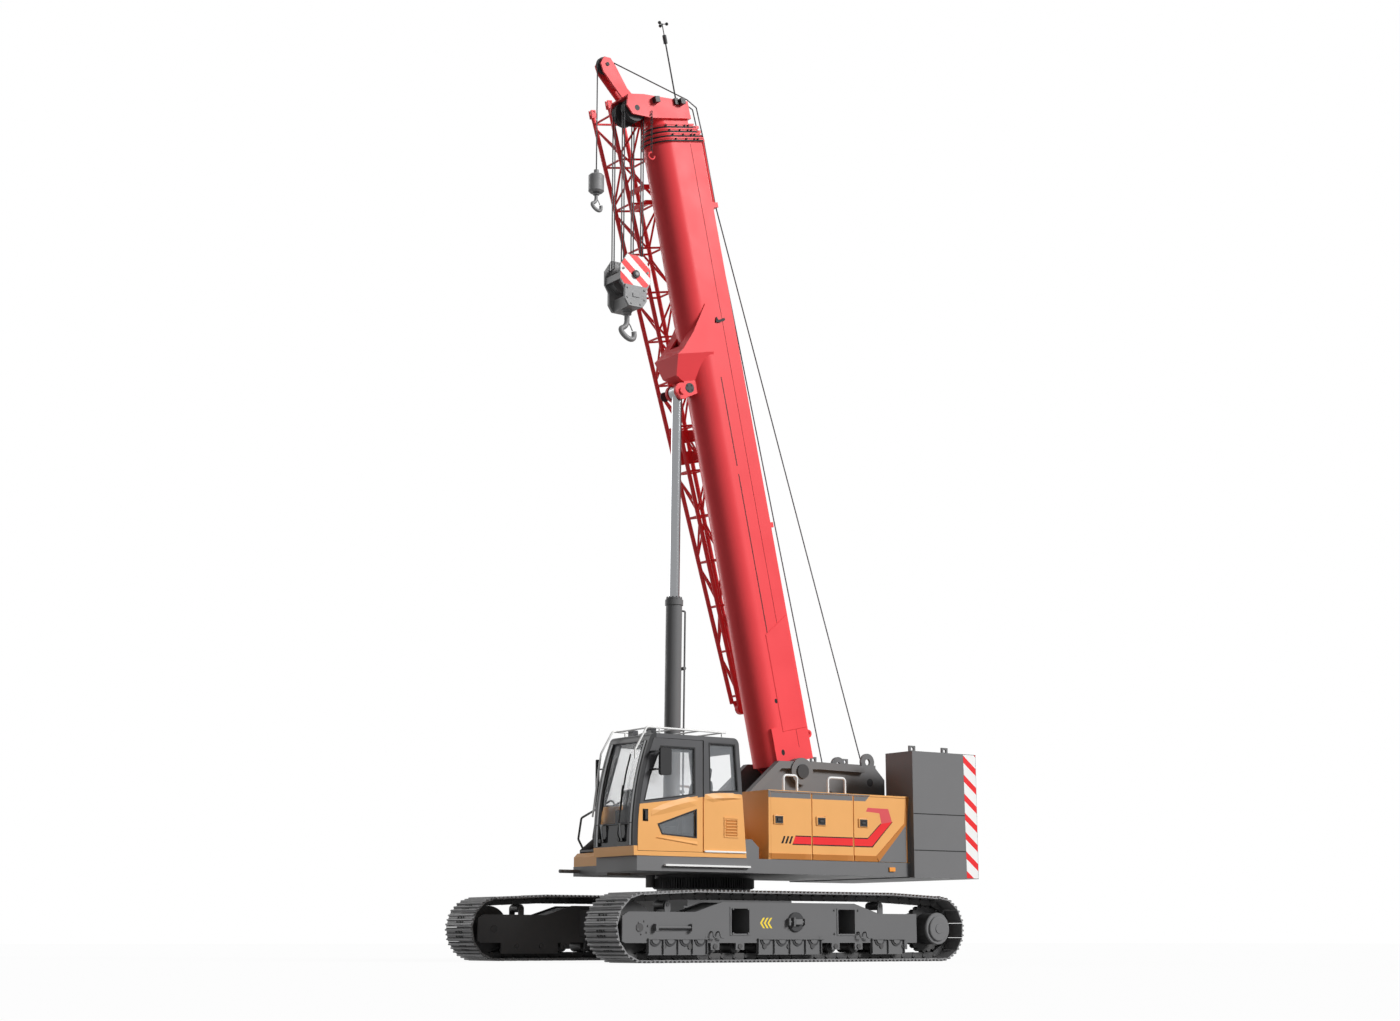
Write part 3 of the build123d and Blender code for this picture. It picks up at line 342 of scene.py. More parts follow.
def wire(name, colour):
    """Steel rope: strands laid on a slant along the UVs."""
    made, tree, shader = material(name)
    parts = tree.nodes.new("ShaderNodeSeparateXYZ")
    tree.links.new(coordinates(tree, "UV"), parts.inputs["Vector"])
    strands, lays_per_metre = 6.0, 40.0
    around = calculate(tree, "MULTIPLY", parts.outputs["Y"], strands)
    slant = calculate(tree, "MULTIPLY_ADD", parts.outputs["X"], lays_per_metre, around)
    strand = calculate(tree, "PINGPONG", slant, 0.5)
    groove = calculate(tree, "MULTIPLY", strand, 2.0)
    tree.links.new(mixed(tree, groove, [c * 0.45 for c in colour], colour), shader.inputs["Base Color"])
    tree.links.new(ranged(tree, cloud(tree, 12.0), 0.35, 0.55), shader.inputs["Roughness"])
    shader.inputs["Metallic"].default_value = 0.6
    rough_up(tree, shader, groove, 0.5, 0.004)
    return made


def pane(name, colour, alpha, low=None, lines=None):
    """Tinted glass; a denser tint below some lines."""
    made, tree, shader = material(name)
    haze = cloud(tree, 3.0)
    tone = mixed(tree, haze, *spread(colour, 0.08))
    cover = ranged(tree, haze, alpha * 0.9, alpha * 1.1)
    if low:
        over = above(tree, lines)
        tone = mixed(tree, over, low, tone)
        tint = 0.94
        dense = calculate(tree, "MULTIPLY_ADD", over, -tint, tint)
        light = calculate(tree, "MULTIPLY", over, cover)
        cover = calculate(tree, "ADD", dense, light)
    tree.links.new(tone, shader.inputs["Base Color"])
    tree.links.new(cover, shader.inputs["Alpha"])
    tree.links.new(ranged(tree, haze, 0.02, 0.06), shader.inputs["Roughness"])
    return made


def moulded(name, colour, roughness=0.5, grain=160.0, depth=0.10):
    """Moulded rubber, plastic or cloth with a fine grain."""
    made, tree, shader = material(name)
    tree.links.new(mixed(tree, cloud(tree, 7.0), *spread(colour, 0.12)), shader.inputs["Base Color"])
    speck = cloud(tree, grain, 2.0)
    tree.links.new(ranged(tree, speck, roughness * 0.85, roughness * 1.15), shader.inputs["Roughness"])
    rough_up(tree, shader, speck, depth, 0.002)
    shader.inputs["Specular IOR Level"].default_value = 0.25
    return made


def lens(name, colour, second, lines):
    """Ribbed lamp lens; a second colour above some lines."""
    made, tree, shader = material(name)
    ribs = waves(tree, "X", 18.0).outputs["Fac"]
    tone = mixed(tree, ribs, *spread(colour, 0.2))
    tone = mixed(tree, above(tree, lines), tone, second)
    tree.links.new(tone, shader.inputs["Base Color"])
    rough_up(tree, shader, ribs, 0.3, 0.003)
    shader.inputs["Roughness"].default_value = 0.15
    shader.inputs["Coat Weight"].default_value = 0.5
    return made


def upright(a, b, y):
    """Point of the side view."""
    return Vector((a, y, b))


def on_boom(s, n, y=0.0):
    """Point of the boom's own frame: along it, above its axis, to its left."""
    boom = bpy.context.scene.crane_boom
    ahead = Vector((math.cos(boom.angle), 0, math.sin(boom.angle)))
    up = Vector((-math.sin(boom.angle), 0, math.cos(boom.angle)))
    return Vector(boom.foot) + s * ahead + n * up + Vector((0, y, 0))


def shrink(outline, amount):
    """Outline drawn in by an amount."""
    count = len(outline)
    points = [Vector(p) for p in outline]
    area = sum(points[i - 1].cross(points[i]) for i in range(count))
    turn = 1 if area > 0 else -1
    made = []
    for i, point in enumerate(points):
        before = (point - points[i - 1]).normalized()
        after = (points[(i + 1) % count] - point).normalized()
        n0 = Vector((-before.y, before.x)) * turn
        n1 = Vector((-after.y, after.x)) * turn
        made.append(point + (n0 + n1) * (amount / (1 + n0.dot(n1))))
    return [tuple(p) for p in made]


def clip(outline, normal, low, high):
    """Part of a convex outline between two parallel lines."""
    for limit, sign in ((low, 1), (high, -1)):
        kept = []
        for i, point in enumerate(outline):
            last = outline[i - 1]
            here = sign * (point[0] * normal[0] + point[1] * normal[1] - limit)
            there = sign * (last[0] * normal[0] + last[1] * normal[1] - limit)
            if here * there < 0:
                share = there / (there - here)
                kept.append(tuple(a + (b - a) * share for a, b in zip(last, point)))
            if here >= 0:
                kept.append(point)
        outline = kept
    return outline


def shell(mesh, low, high, slot=0):
    """Closed plate between two loops of points."""
    ends = [[mesh.verts.new(point) for point in loop] for loop in (low, high)]
    faces = [mesh.faces.new(ends[0]), mesh.faces.new(ends[1][::-1])]
    for i in range(len(low)):
        faces.append(mesh.faces.new((ends[0][i - 1], ends[1][i - 1], ends[1][i], ends[0][i])))
    for face in faces:
        face.material_index = slot


def prism(mesh, outline, y0, y1, slot=0, place=upright):
    """Plate of an outline between two values of y."""
    shell(mesh, *[[place(a, b, y) for a, b in outline] for y in (y0, y1)], slot)


def decal(mesh, outline, y, side, slot=0, proud=SKIN, place=upright):
    """Plate of an outline on a face at y, sunk a little into it and standing proud of it."""
    prism(mesh, outline, y - side * SINK, y + side * proud, slot, place)


def border(mesh, outline, wide, y0, y1, slot=0, place=upright):
    """Frame along the inside of an outline."""
    loops = []
    for line in (outline, shrink(outline, wide)):
        for y in (y0, y1):
            loops.append([mesh.verts.new(place(a, b, y)) for a, b in line])
    for i in range(len(outline)):
        for one, two in ((0, 1), (1, 3), (3, 2), (2, 0)):
            face = mesh.faces.new((loops[one][i - 1], loops[two][i - 1], loops[two][i], loops[one][i]))
            face.material_index = slot


def striped(mesh, outline, normal, pitch, share, y, side):
    """Thin plate cut into slanting stripes, a share of each pitch in slot 0 and the rest in slot 1."""
    normal = Vector(normal).normalized()
    reach = [a * normal.x + b * normal.y for a, b in outline]
    start = min(reach)
    while start < max(reach):
        for slot, low, high in ((0, start, start + share * pitch), (1, start + share * pitch, start + pitch)):
            part = clip(outline, normal, low, high)
            if len(part) > 2:
                decal(mesh, part, y, side, slot)
        start += pitch


def brick(mesh, low, high, slot=0, soft=0.0, place=upright):
    """Block between two corners, its edges softened."""
    (x0, y0, z0), (x1, y1, z1) = low, high
    first = len(mesh.faces)
    prism(mesh, [(x0, z0), (x1, z0), (x1, z1), (x0, z1)], y0, y1, slot, place)
    if soft:
        mesh.faces.ensure_lookup_table()
        edges = {edge for face in mesh.faces[first:] for edge in face.edges}
        bmesh.ops.bevel(mesh, geom=list(edges), offset=soft, segments=2, profile=0.5, affect="EDGES")


def slab(mesh, xs, ys, zs, slot=0, soft=0.0):
    """Block between two values of x, of y in either order, and of z."""
    low, high = sorted(ys)
    brick(mesh, (xs[0], low, zs[0]), (xs[1], high, zs[1]), slot, soft)


def ridge(mesh, outline, inner, y0, y1, slot=0, place=upright):
    """Plate with sloped sides: an outline at one y, a smaller one at the other."""
    shell(mesh, [place(a, b, y0) for a, b in outline], [place(a, b, y1) for a, b in inner], slot)


def tube(mesh, path, radius, sides=12, slot=0):
    """Round bar along a path, capped, with UVs along and around it in metres and turns."""
    path = [Vector(p) for p in path]
    layer = mesh.loops.layers.uv.verify()
    side, rings, run = None, [], [0.0]
    for i, point in enumerate(path):
        ahead = (path[min(i + 1, len(path) - 1)] - path[max(i - 1, 0)]).normalized()
        side = ahead.orthogonal() if side is None else side - ahead * side.dot(ahead)
        side.normalize()
        across = ahead.cross(side)
        turns = [2 * math.pi * k / sides for k in range(sides)]
        rings.append([
            mesh.verts.new(point + radius * (math.cos(t) * side + math.sin(t) * across)) for t in turns
        ])
        if i:
            run.append(run[-1] + (point - path[i - 1]).length)
    for i in range(len(path) - 1):
        for k in range(sides):
            m = (k + 1) % sides
            face = mesh.faces.new((rings[i][k], rings[i][m], rings[i + 1][m], rings[i + 1][k]))
            face.material_index = slot
            face.smooth = sides > 6
            around = [(run[i], k), (run[i], k + 1), (run[i + 1], k + 1), (run[i + 1], k)]
            for loop, (along, turn) in zip(face.loops, around):
                loop[layer].uv = (along, turn / sides)
    for cap in (rings[0][::-1], rings[-1]):
        mesh.faces.new(cap).material_index = slot


def rounded(path, radius, steps=5):
    """Path with its inner corners rounded."""
    points = [Vector(p) for p in path]
    made = [points[0]]
    for before, point, after in zip(points, points[1:], points[2:]):
        back = (before - point).normalized()
        on = (after - point).normalized()
        reach = min(radius, (before - point).length * 0.45, (after - point).length * 0.45)
        for i in range(steps + 1):
            t = i / steps
            start, end = point + back * reach, point + on * reach
            made.append(start * (1 - t) ** 2 + point * 2 * t * (1 - t) + end * t**2)
    return made + [points[-1]]


def arc(centre, radius, start, end, y=0.0, steps=16):
    """Arc of the side view, angles in degrees from +X towards +Z."""
    made = []
    for i in range(steps + 1):
        t = math.radians(start + (end - start) * i / steps)
        made.append(Vector((centre[0] + radius * math.cos(t), y, centre[1] + radius * math.sin(t))))
    return made


def lathe(mesh, centre, side, profile, slot=0, sides=40):
    """Turned shape about an axis along y: steps outwards and radii, closed at both ends."""
    turns = [2 * math.pi * k / sides for k in range(sides)]
    rings = []
    for out, radius in profile:
        ring = [Vector((radius * math.cos(t), side * out, radius * math.sin(t))) for t in turns]
        rings.append([mesh.verts.new(Vector(centre) + point) for point in ring])
    for one, two in zip(rings, rings[1:]):
        for k in range(sides):
            mesh.faces.new((one[k - 1], one[k], two[k], two[k - 1])).material_index = slot
    for cap in (rings[0][::-1], rings[-1]):
        mesh.faces.new(cap).material_index = slot


def section_line(step, grow):
    """Outline of a boom section's tube as heights above the axis and sideways places, grown outwards."""
    boom = bpy.context.scene.crane_boom
    half = boom.half_width - boom.shrink * step + grow
    top = boom.top - boom.shrink * step + grow
    middle = boom.bottom + boom.half_width
    turns = [math.pi * i / 24 for i in range(25)]
    return [(top, -half), (top, half)] + [(middle - half * math.sin(t), half * math.cos(t)) for t in turns]


def band(mesh, step, inner, outer, s0, s1, slot=0):
    """Ring round a boom section between two growths and two places along the boom."""
    loops = []
    for grow, s in ((inner, s0), (outer, s0), (outer, s1), (inner, s1)):
        loops.append([mesh.verts.new(on_boom(s, n, y)) for n, y in section_line(step, grow)])
    for i in range(len(loops[0])):
        for k in range(4):
            one, two = loops[k - 1], loops[k]
            mesh.faces.new((one[i - 1], two[i - 1], two[i], one[i])).material_index = slot


def piece(name, mesh, finishes, body=None):
    """Turn a bmesh into an object with its finishes, riding a body if one is given."""
    bmesh.ops.recalc_face_normals(mesh, faces=mesh.faces)
    data = bpy.data.meshes.new(name)
    mesh.to_mesh(data)
    mesh.free()
    for finish in finishes:
        data.materials.append(finished(finish))
    made = bpy.data.objects.new(name, data)
    bpy.context.scene.collection.objects.link(made)
    if body:
        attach(made, body)
    return made


def copies_tree():
    """Node group that lays copies of a unit along a curve."""
    found = bpy.data.node_groups.get("copies_along_curve")
    if found:
        return found
    tree = bpy.data.node_groups.new("copies_along_curve", "GeometryNodeTree")
    sockets = (
        ("Geometry", "NodeSocketGeometry"), ("Unit", "NodeSocketObject"), ("Count", "NodeSocketInt"),
        ("Across", "NodeSocketVector"), ("Turn", "NodeSocketFloat"), ("Finish", "NodeSocketMaterial"),
    )
    for name, kind in sockets:
        tree.interface.new_socket(name=name, in_out="INPUT", socket_type=kind)
    tree.interface.new_socket(name="Geometry", in_out="OUTPUT", socket_type="NodeSocketGeometry")
    start = tree.nodes.new("NodeGroupInput").outputs
    points = tree.nodes.new("GeometryNodeCurveToPoints")
    points.mode = "COUNT"
    tree.links.new(start["Geometry"], points.inputs["Curve"])
    tree.links.new(start["Count"], points.inputs["Count"])
    aim = tree.nodes.new("FunctionNodeAxesToRotation")
    aim.primary_axis = "X"
    aim.secondary_axis = "Y"
    tree.links.new(points.outputs["Tangent"], aim.inputs["Primary Axis"])
    tree.links.new(start["Across"], aim.inputs["Secondary Axis"])
    index = tree.nodes.new("GeometryNodeInputIndex").outputs["Index"]
    odd = calculate(tree, "MODULO", index, 2.0)
    lean = tree.nodes.new("ShaderNodeCombineXYZ")
    tree.links.new(calculate(tree, "MULTIPLY", odd, start["Turn"]), lean.inputs["X"])
    spin = tree.nodes.new("FunctionNodeEulerToRotation")
    tree.links.new(lean.outputs["Vector"], spin.inputs["Euler"])
    turn = tree.nodes.new("FunctionNodeRotateRotation")
    turn.rotation_space = "LOCAL"
    tree.links.new(aim.outputs["Rotation"], turn.inputs["Rotation"])
    tree.links.new(spin.outputs["Rotation"], turn.inputs["Rotate By"])
    unit = tree.nodes.new("GeometryNodeObjectInfo")
    tree.links.new(start["Unit"], unit.inputs["Object"])
    copies = tree.nodes.new("GeometryNodeInstanceOnPoints")
    tree.links.new(points.outputs["Points"], copies.inputs["Points"])
    tree.links.new(unit.outputs["Geometry"], copies.inputs["Instance"])
    tree.links.new(turn.outputs["Rotation"], copies.inputs["Rotation"])
    real = tree.nodes.new("GeometryNodeRealizeInstances")
    tree.links.new(copies.outputs["Instances"], real.inputs["Geometry"])
    finish = tree.nodes.new("GeometryNodeSetMaterial")
    tree.links.new(real.outputs["Geometry"], finish.inputs["Geometry"])
    tree.links.new(start["Finish"], finish.inputs["Material"])
    end = tree.nodes.new("NodeGroupOutput")
    tree.links.new(finish.outputs["Geometry"], end.inputs["Geometry"])
    return tree


def repeated(name, unit, path, count, across, finish, body, turn=0.0, closed=True):
    """Lay copies of a unit bmesh along a path with geometry nodes and keep the plain mesh."""
    scene = bpy.context.scene
    unit_piece = piece(name + "_unit", unit, [finish])
    curve = bpy.data.curves.new(name + "_path", "CURVE")
    curve.dimensions = "3D"
    spline = curve.splines.new("POLY")
    spline.points.add(len(path) - 1)
    for point, co in zip(spline.points, path):
        point.co = (*co, 1)
    spline.use_cyclic_u = closed
    holder = bpy.data.objects.new(name + "_path", curve)
    scene.collection.objects.link(holder)
    tree = copies_tree()
    copies = holder.modifiers.new("copies", "NODES")
    copies.node_group = tree
    values = {"Unit": unit_piece, "Count": count, "Across": across, "Turn": turn, "Finish": finished(finish)}
    for item in tree.interface.items_tree:
        if item.item_type == "SOCKET" and item.in_out == "INPUT" and item.name in values:
            copies[item.identifier] = values[item.name]
    depsgraph = bpy.context.evaluated_depsgraph_get()
    data = bpy.data.meshes.new_from_object(holder.evaluated_get(depsgraph))
    data.name = name
    holder.modifiers.remove(copies)
    for spare in (holder, unit_piece):
        bpy.data.objects.remove(spare)
    made = bpy.data.objects.new(name, data)
    scene.collection.objects.link(made)
    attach(made, body)
    return made


def circle(centre, radius, axis, count=48):
    """Closed ring of points about an axis."""
    axis = Vector(axis).normalized()
    side = axis.orthogonal().normalized()
    other = axis.cross(side)
    turns = [2 * math.pi * i / count for i in range(count)]
    return [Vector(centre) + radius * (math.cos(t) * side + math.sin(t) * other) for t in turns]


def bolt_unit(radius, height):
    """Hexagon head on a washer, its axis along Y, standing on the plane y = 0."""
    mesh = bmesh.new()
    tube(mesh, [(0, -0.002, 0), (0, height * 0.25, 0)], radius * 1.45, 12)
    tube(mesh, [(0, 0, 0), (0, height, 0)], radius, 6)
    return mesh


def bolts(name, centre, ring, axis, count, radius, height, finish, body):
    """Ring of bolt heads facing along an axis."""
    return repeated(name, bolt_unit(radius, height), circle(centre, ring, axis), count, axis, finish, body)


def dress(finish, *nodes):
    """Give CAD nodes a finish."""
    for node in nodes:
        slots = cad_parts[node].data.materials
        slots.clear()
        slots.append(finished(finish))


class CRANE_OT_paint(Operator):
    """Make every finish and paint the CAD nodes."""

    bl_idname = "crane.paint"
    bl_label = "Paint the crane"

    def execute(self, context):
        colours = context.scene.crane_paint
        waist = [(2.353, -0.125), (2.303, -0.078)]
        paint("boom_red", colours.boom, 0.34, 0.12)
        # painted shade: a darker copy of the boom red for the side seam bead
        paint("seam_painted_shade_red", [c * 0.30 for c in colours.boom], 0.5, 0.1)
        paint("pale_red", (0.66, 0.085, 0.095))
        paint("mark_red", (0.80, 0.022, 0.026))
        paint("body_orange", colours.body, 0.36, 0.15)
        # painted shade orange: the shade of the covers' bevelled lip and behind the vent slats
        paint("painted_shade_orange", colours.shade, 0.36, 0.15)
        paint("cab_two_tone", colours.body, 0.36, 0.15, 0.05, colours.cab, waist)
        paint("cab_front", colours.body, 0.36, 0.15, 0.05, [c * 0.45 for c in colours.cab], [(1.532, 0.0)])
        paint("cab_grey", colours.cab)
        paint("works_grey", colours.grey, 0.5, 0.15)
        paint("frame_grey", [c * 0.88 for c in colours.grey], 0.55, 0.15, 0.08)
        # dark grey of dark parts, also used as painted shade in the rings round the track rollers
        paint("dark_grey_and_painted_shade", (0.045, 0.045, 0.047), 0.55, 0.2, 0.10)
        paint("mark_white", (0.84, 0.84, 0.83))
        # black paint of black parts and print, also used as painted shade: lines at the track bars' feet, the
        # weight seams, the collar gaps and the boom's slots and holes
        paint("black_and_painted_shade", (0.010, 0.010, 0.010), 0.5, 0.15)
        paint("mark_yellow", (0.86, 0.64, 0.06), 0.45)
        # white paint of the rails and roof guard, also used as the painted highlight of the door's sliding
        # rail
        paint("rail_white", (0.82, 0.82, 0.81))
        paint("silver_trim", (0.46, 0.47, 0.48))
        worn_iron("shoe_iron", (0.20, 0.20, 0.205), (0.26, 0.25, 0.245))
        worn_iron("link_iron", (0.060, 0.060, 0.062), (0.11, 0.105, 0.10))
        worn_iron("cast_grey", (0.22, 0.22, 0.223), (0.27, 0.27, 0.27))
        plated("chrome_rod", (0.29, 0.295, 0.305), 0.14)
        wire("rope_steel", (0.10, 0.10, 0.105))
        pane("glass", (0.52, 0.55, 0.58), 0.16)
        pane("screen_glass", (0.52, 0.55, 0.58), 0.16, (0.030, 0.031, 0.034), [(1.835, 0.0)])
        moulded("black_rubber", (0.012, 0.012, 0.013), 0.55)
        moulded("black_plastic", (0.022, 0.022, 0.024), 0.42)
        moulded("seat_cloth", (0.045, 0.047, 0.052), 0.85, 320.0, 0.35)
        lens("lamp_lens", (0.95, 0.30, 0.02), (0.05, 0.05, 0.055), [(2.5, 0.0)])
        plated("mirror_face", (0.70, 0.72, 0.75), 0.06)
        sections = [f"boom_section_{i}" for i in (2, 3, 4, 5)]
        dress("boom_red", "boom_base", *sections, "boom_head", "lattice_jib")
        covers = [f"{side}_cover_{i}" for side in ("left", "right") for i in (1, 2, 3)]
        dress("body_orange", *covers, "tool_box", "left_housing", "right_housing", "cab_floor")
        dress("cab_two_tone", "cab_door", "cab_left_panel", "cab_right_wall", "cab_rear_wall")
        dress("cab_front", "cab_front_frame")
        dress("cab_grey", "cab_roof")
        dress("works_grey", "upper_frame", "counterweight_base", "counterweight_middle", "counterweight_top")
        dress("frame_grey", "carbody", "track_frame_left", "track_frame_right", "lift_barrel")
        dress("dark_grey_and_painted_shade", "slew_ring_gear", "slew_race", "boom_foot_pin", "engine_block", "access_steps")
        dress("dark_grey_and_painted_shade", "head_sheaves", "jib_sheave", "main_winch_drum", "aux_winch_drum")
        dress("link_iron", "track_wheels_left", "track_wheels_right", "track_belt_left", "track_belt_right")
        dress("chrome_rod", "lift_rod")
        dress("cast_grey", "hook_block", "main_hook", "aux_weight", "aux_hook")
        dress("rail_white", "grab_rails", "cab_guard")
        dress("glass", "cab_panes", "cab_door_panes")
        dress("screen_glass", "cab_windscreen")
        dress("black_plastic", "cab_console", "head_fittings")
        dress("black_rubber", "door_mirror")
        dress("seat_cloth", "cab_seat")
        dress("lamp_lens", "lamps")
        return {"FINISHED"}


def track_path(track, inset, y):
    """Closed path of a shoe loop, drawn in from the bar tips by an inset, going forward along its top."""
    low, high = track.wheel_radius, track.bend_radius
    between = Vector((track.wheel_x - track.bend_x, track.wheel_radius - track.top + track.bend_radius))
    lean = math.degrees(math.acos((high - low) / between.length) + math.atan2(between.y, between.x))
    front = arc((track.bend_x, track.top - high), high - inset, 90, lean, y, 3)
    front += arc((track.wheel_x, low), low - inset, lean, -90, y, 40)
    rear = [Vector((-p.x, p.y, p.z)) for p in reversed(front)]
    return front + rear


class CRANE_OT_tracks(Operator):
    """Lay the shoes and chain links of both tracks."""

    bl_idname = "crane.tracks"
    bl_label = "Lay the tracks"

    gap = 0.003
    bar_foot = 0.017
    bar_tip = 0.009
    # width of the painted shade line at the foot of each bar
    joint = 0.013
    bolt_places = (-0.095, -0.035, 0.0, 0.060)
    bolt = 0.016
    bolt_height = 0.011
    link_places = (-0.105, 0.070)
    link_wide = 0.035
    boss = 0.006
    pin = 0.022
    pin_reach = 0.118

    def execute(self, context):
        track = context.scene.crane_track
        inset = track.bar_height + track.plate / 2
        path = track_path(track, inset, 0.0)
        length = sum((a - b).length for a, b in zip(path, path[1:] + path[:1]))
        pitch = length / track.shoes
        chain = inset + (track.plate + track.link_height) / 2
        for side, name in ((1, "left"), (-1, "right")):
            for part, unit, depth, finish in (
                ("shoes", self.shoe, inset, "shoe_iron"), ("shoe_marks", self.marks, inset, "black_and_painted_shade"),
                ("links", self.link, chain, "link_iron"),
            ):
                loop = track_path(track, depth, side * track.gauge / 2)
                title, body = f"track_{part}_{name}", f"track_{name}"
                made = repeated(title, unit(track, pitch), loop, track.shoes, (0, 1, 0), finish, body)
                if part == "shoes":
                    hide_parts(f"track_belt_{name}")
        return {"FINISHED"}

    def shoe(self, track, pitch):
        """Shoe plate with three grip bars."""
        mesh = bmesh.new()
        half, plate = pitch / 2 - self.gap, track.plate / 2
        tip = plate + track.bar_height
        outline = [(-half, -plate), (half, -plate), (half, plate)]
        for i in (1, 0, -1):
            x = i * pitch / 3
            outline += [(x + self.bar_foot, plate), (x + self.bar_tip, tip)]
            outline += [(x - self.bar_tip, tip), (x - self.bar_foot, plate)]
        outline.append((-half, plate))
        wide = track.shoe_width / 2
        prism(mesh, outline, -wide, wide)
        return mesh

    def marks(self, track, pitch):
        """Line of painted shade at the foot of each bar, for the shadow the bar casts, and the bolt heads of
        one shoe.
        """
        mesh = bmesh.new()
        plate, wide = track.plate / 2, track.shoe_width / 2 - 0.002
        low, high = plate - SINK, plate + 0.002
        for i in (1, 0, -1):
            x = i * pitch / 3 - self.bar_foot
            prism(mesh, [(x - self.joint, low), (x, low), (x, high), (x - self.joint, high)], -wide, wide)
        for x in (-pitch / 6, pitch / 6):
            for y in self.bolt_places:
                tube(mesh, [(x, y, low), (x, y, plate + self.bolt_height)], self.bolt, 6)
        return mesh

    def link(self, track, pitch):
        """Pair of chain links with the pin at their joint."""
        mesh = bmesh.new()
        half, deep = pitch / 2, track.link_height / 2
        ahead = [(0.8, -1.0), (0.98, -0.45), (0.98, 0.4), (0.55, 1.0)]
        shares = ahead + [(-a, b) for a, b in reversed(ahead)]
        outline = [(half * a, deep * b) for a, b in shares]
        for y in self.link_places:
            prism(mesh, outline, y, y + self.link_wide)
            prism(mesh, shrink(outline, 3 * self.boss), y - self.boss, y + self.link_wide + self.boss)
        tube(mesh, [(half, -self.pin_reach, 0), (half, self.pin_reach, 0)], self.pin, 12)
        return mesh


class CRANE_OT_track_marks(Operator):
    """Add bolts, caps and the direction marks of the track frames."""

    bl_idname = "crane.track_marks"
    bl_label = "Mark the track frames"

    arrow_tip = (0.585, 0.518)
    arrow_step = 0.062
    arrow_tall = 0.070
    arrow_lean = 0.052
    arrow_wide = 0.032
    hub_profile = (
        (0.296, 0.224), (0.318, 0.224), (0.330, 0.212), (0.330, 0.176),
        (0.352, 0.170), (0.358, 0.160), (0.358, 0.072), (0.366, 0.066),
    )
    guards = ((1.456, 2.409), (-0.466, 0.631), (-1.963, -1.357))
    guard_foot = 0.112
    guard_edge = 0.300
    roller_pitch = 0.27
    rib = 0.007
    port_place = (-0.019, 0.534)
    bolt_columns = (0.789, 1.041, -0.704, -1.126)
    bolt_rows = (0.380, 0.700)
    bolt = 0.014
    bolt_height = 0.018
    idler_shift = 0.05
    idler_ring = 0.085
    # radius, how far it stands out and slot of a roller's collar and cap; the collar's dark ring is painted
    # shade of the gap round the roller
    roller_caps = ((0.088, 0.010, 1), (0.056, 0.020, 0))
    rib_height = 0.026
    lip_height = 0.030
    lip = 0.014

    def execute(self, context):
        track = context.scene.crane_track
        for side, name in ((1, "left"), (-1, "right")):
            body = f"track_{name}"
            face = side * (track.gauge / 2 + track.frame_half_width)
            piece(f"track_arrows_{name}", self.arrows(face, side), ["mark_yellow"], body)
            idler = (track.wheel_x - self.idler_shift, face, track.wheel_radius)
            out = (0, side, 0)
            bolts(f"idler_bolts_{name}", idler, self.idler_ring, out, 6, 0.012, 0.012, "frame_grey", body)
            mesh = bmesh.new()
            lathe(mesh, (-track.wheel_x, side * track.gauge / 2, track.wheel_radius), side, self.hub_profile)
            piece(f"hub_cover_{name}", mesh, ["works_grey"], body)
            mesh = bmesh.new()
            for x0, x1 in self.guards:
                self.guard(mesh, x0, x1, face, side)
            self.port(mesh, face, side)
            for x in self.bolt_columns:
                for z in self.bolt_rows:
                    tube(mesh, [(x, face, z), (x, face + side * self.bolt_height, z)], self.bolt, 6)
            piece(f"guard_fittings_{name}", mesh, ["frame_grey", "dark_grey_and_painted_shade", "works_grey"], body)
        return {"FINISHED"}

    def arrows(self, face, side):
        """Three chevrons that point forward, each of two slanting bars."""
        mesh = bmesh.new()
        lean, wide = self.arrow_lean, self.arrow_wide
        z = self.arrow_tip[1]
        for i in range(3):
            x = self.arrow_tip[0] - self.arrow_step * i
            for tall in (self.arrow_tall, -self.arrow_tall):
                arrow = [(x, z), (x - lean, z + tall), (x - lean - wide, z + tall), (x - wide, z)]
                decal(mesh, arrow, face, side)
        return mesh

    def guard(self, mesh, x0, x1, face, side):
        """Lip, roller caps and ribs of one guard plate."""
        edge = self.guard_edge
        count = round((x1 - x0) / self.roller_pitch)
        step = (x1 - x0) / count
        for i in range(count):
            x = x0 + step * (i + 0.5)
            # the raised collar ring is dark as painted shade of the gap round each roller
            for radius, out, slot in self.roller_caps:
                cap = [(p.x, p.z) for p in arc((x, edge), radius, 180, 360)]
                decal(mesh, cap, face, side, slot, out)
        sunk = face - side * SINK
        inset = 0.012
        for i in range(count + 1):
            x = x0 + inset + (x1 - x0 - 2 * inset) * i / count
            depth, heights = (sunk, face + side * self.rib_height), (self.guard_foot, edge)
            slab(mesh, (x - self.rib, x + self.rib), depth, heights, 0, 0.003)
        slab(mesh, (x0, x1), (sunk, face + side * self.lip_height), (edge, edge + self.lip), 0, 0.003)

    def port(self, mesh, face, side):
        """Dark rim and pale lock block of the frame's middle port."""
        x, z = self.port_place
        rim = [(-SINK, 0.132), (0.020, 0.132), (0.028, 0.122), (0.028, 0.106)]
        lathe(mesh, (x, face, z), side, rim, 1)
        depth = (face + side * 0.020, face + side * 0.078)
        slab(mesh, (x - 0.075, x + 0.055), depth, (z - 0.038, z + 0.038), 2, 0.008)
        slab(mesh, (x + 0.055, x + 0.080), depth, (z - 0.060, z + 0.060), 0, 0.005)


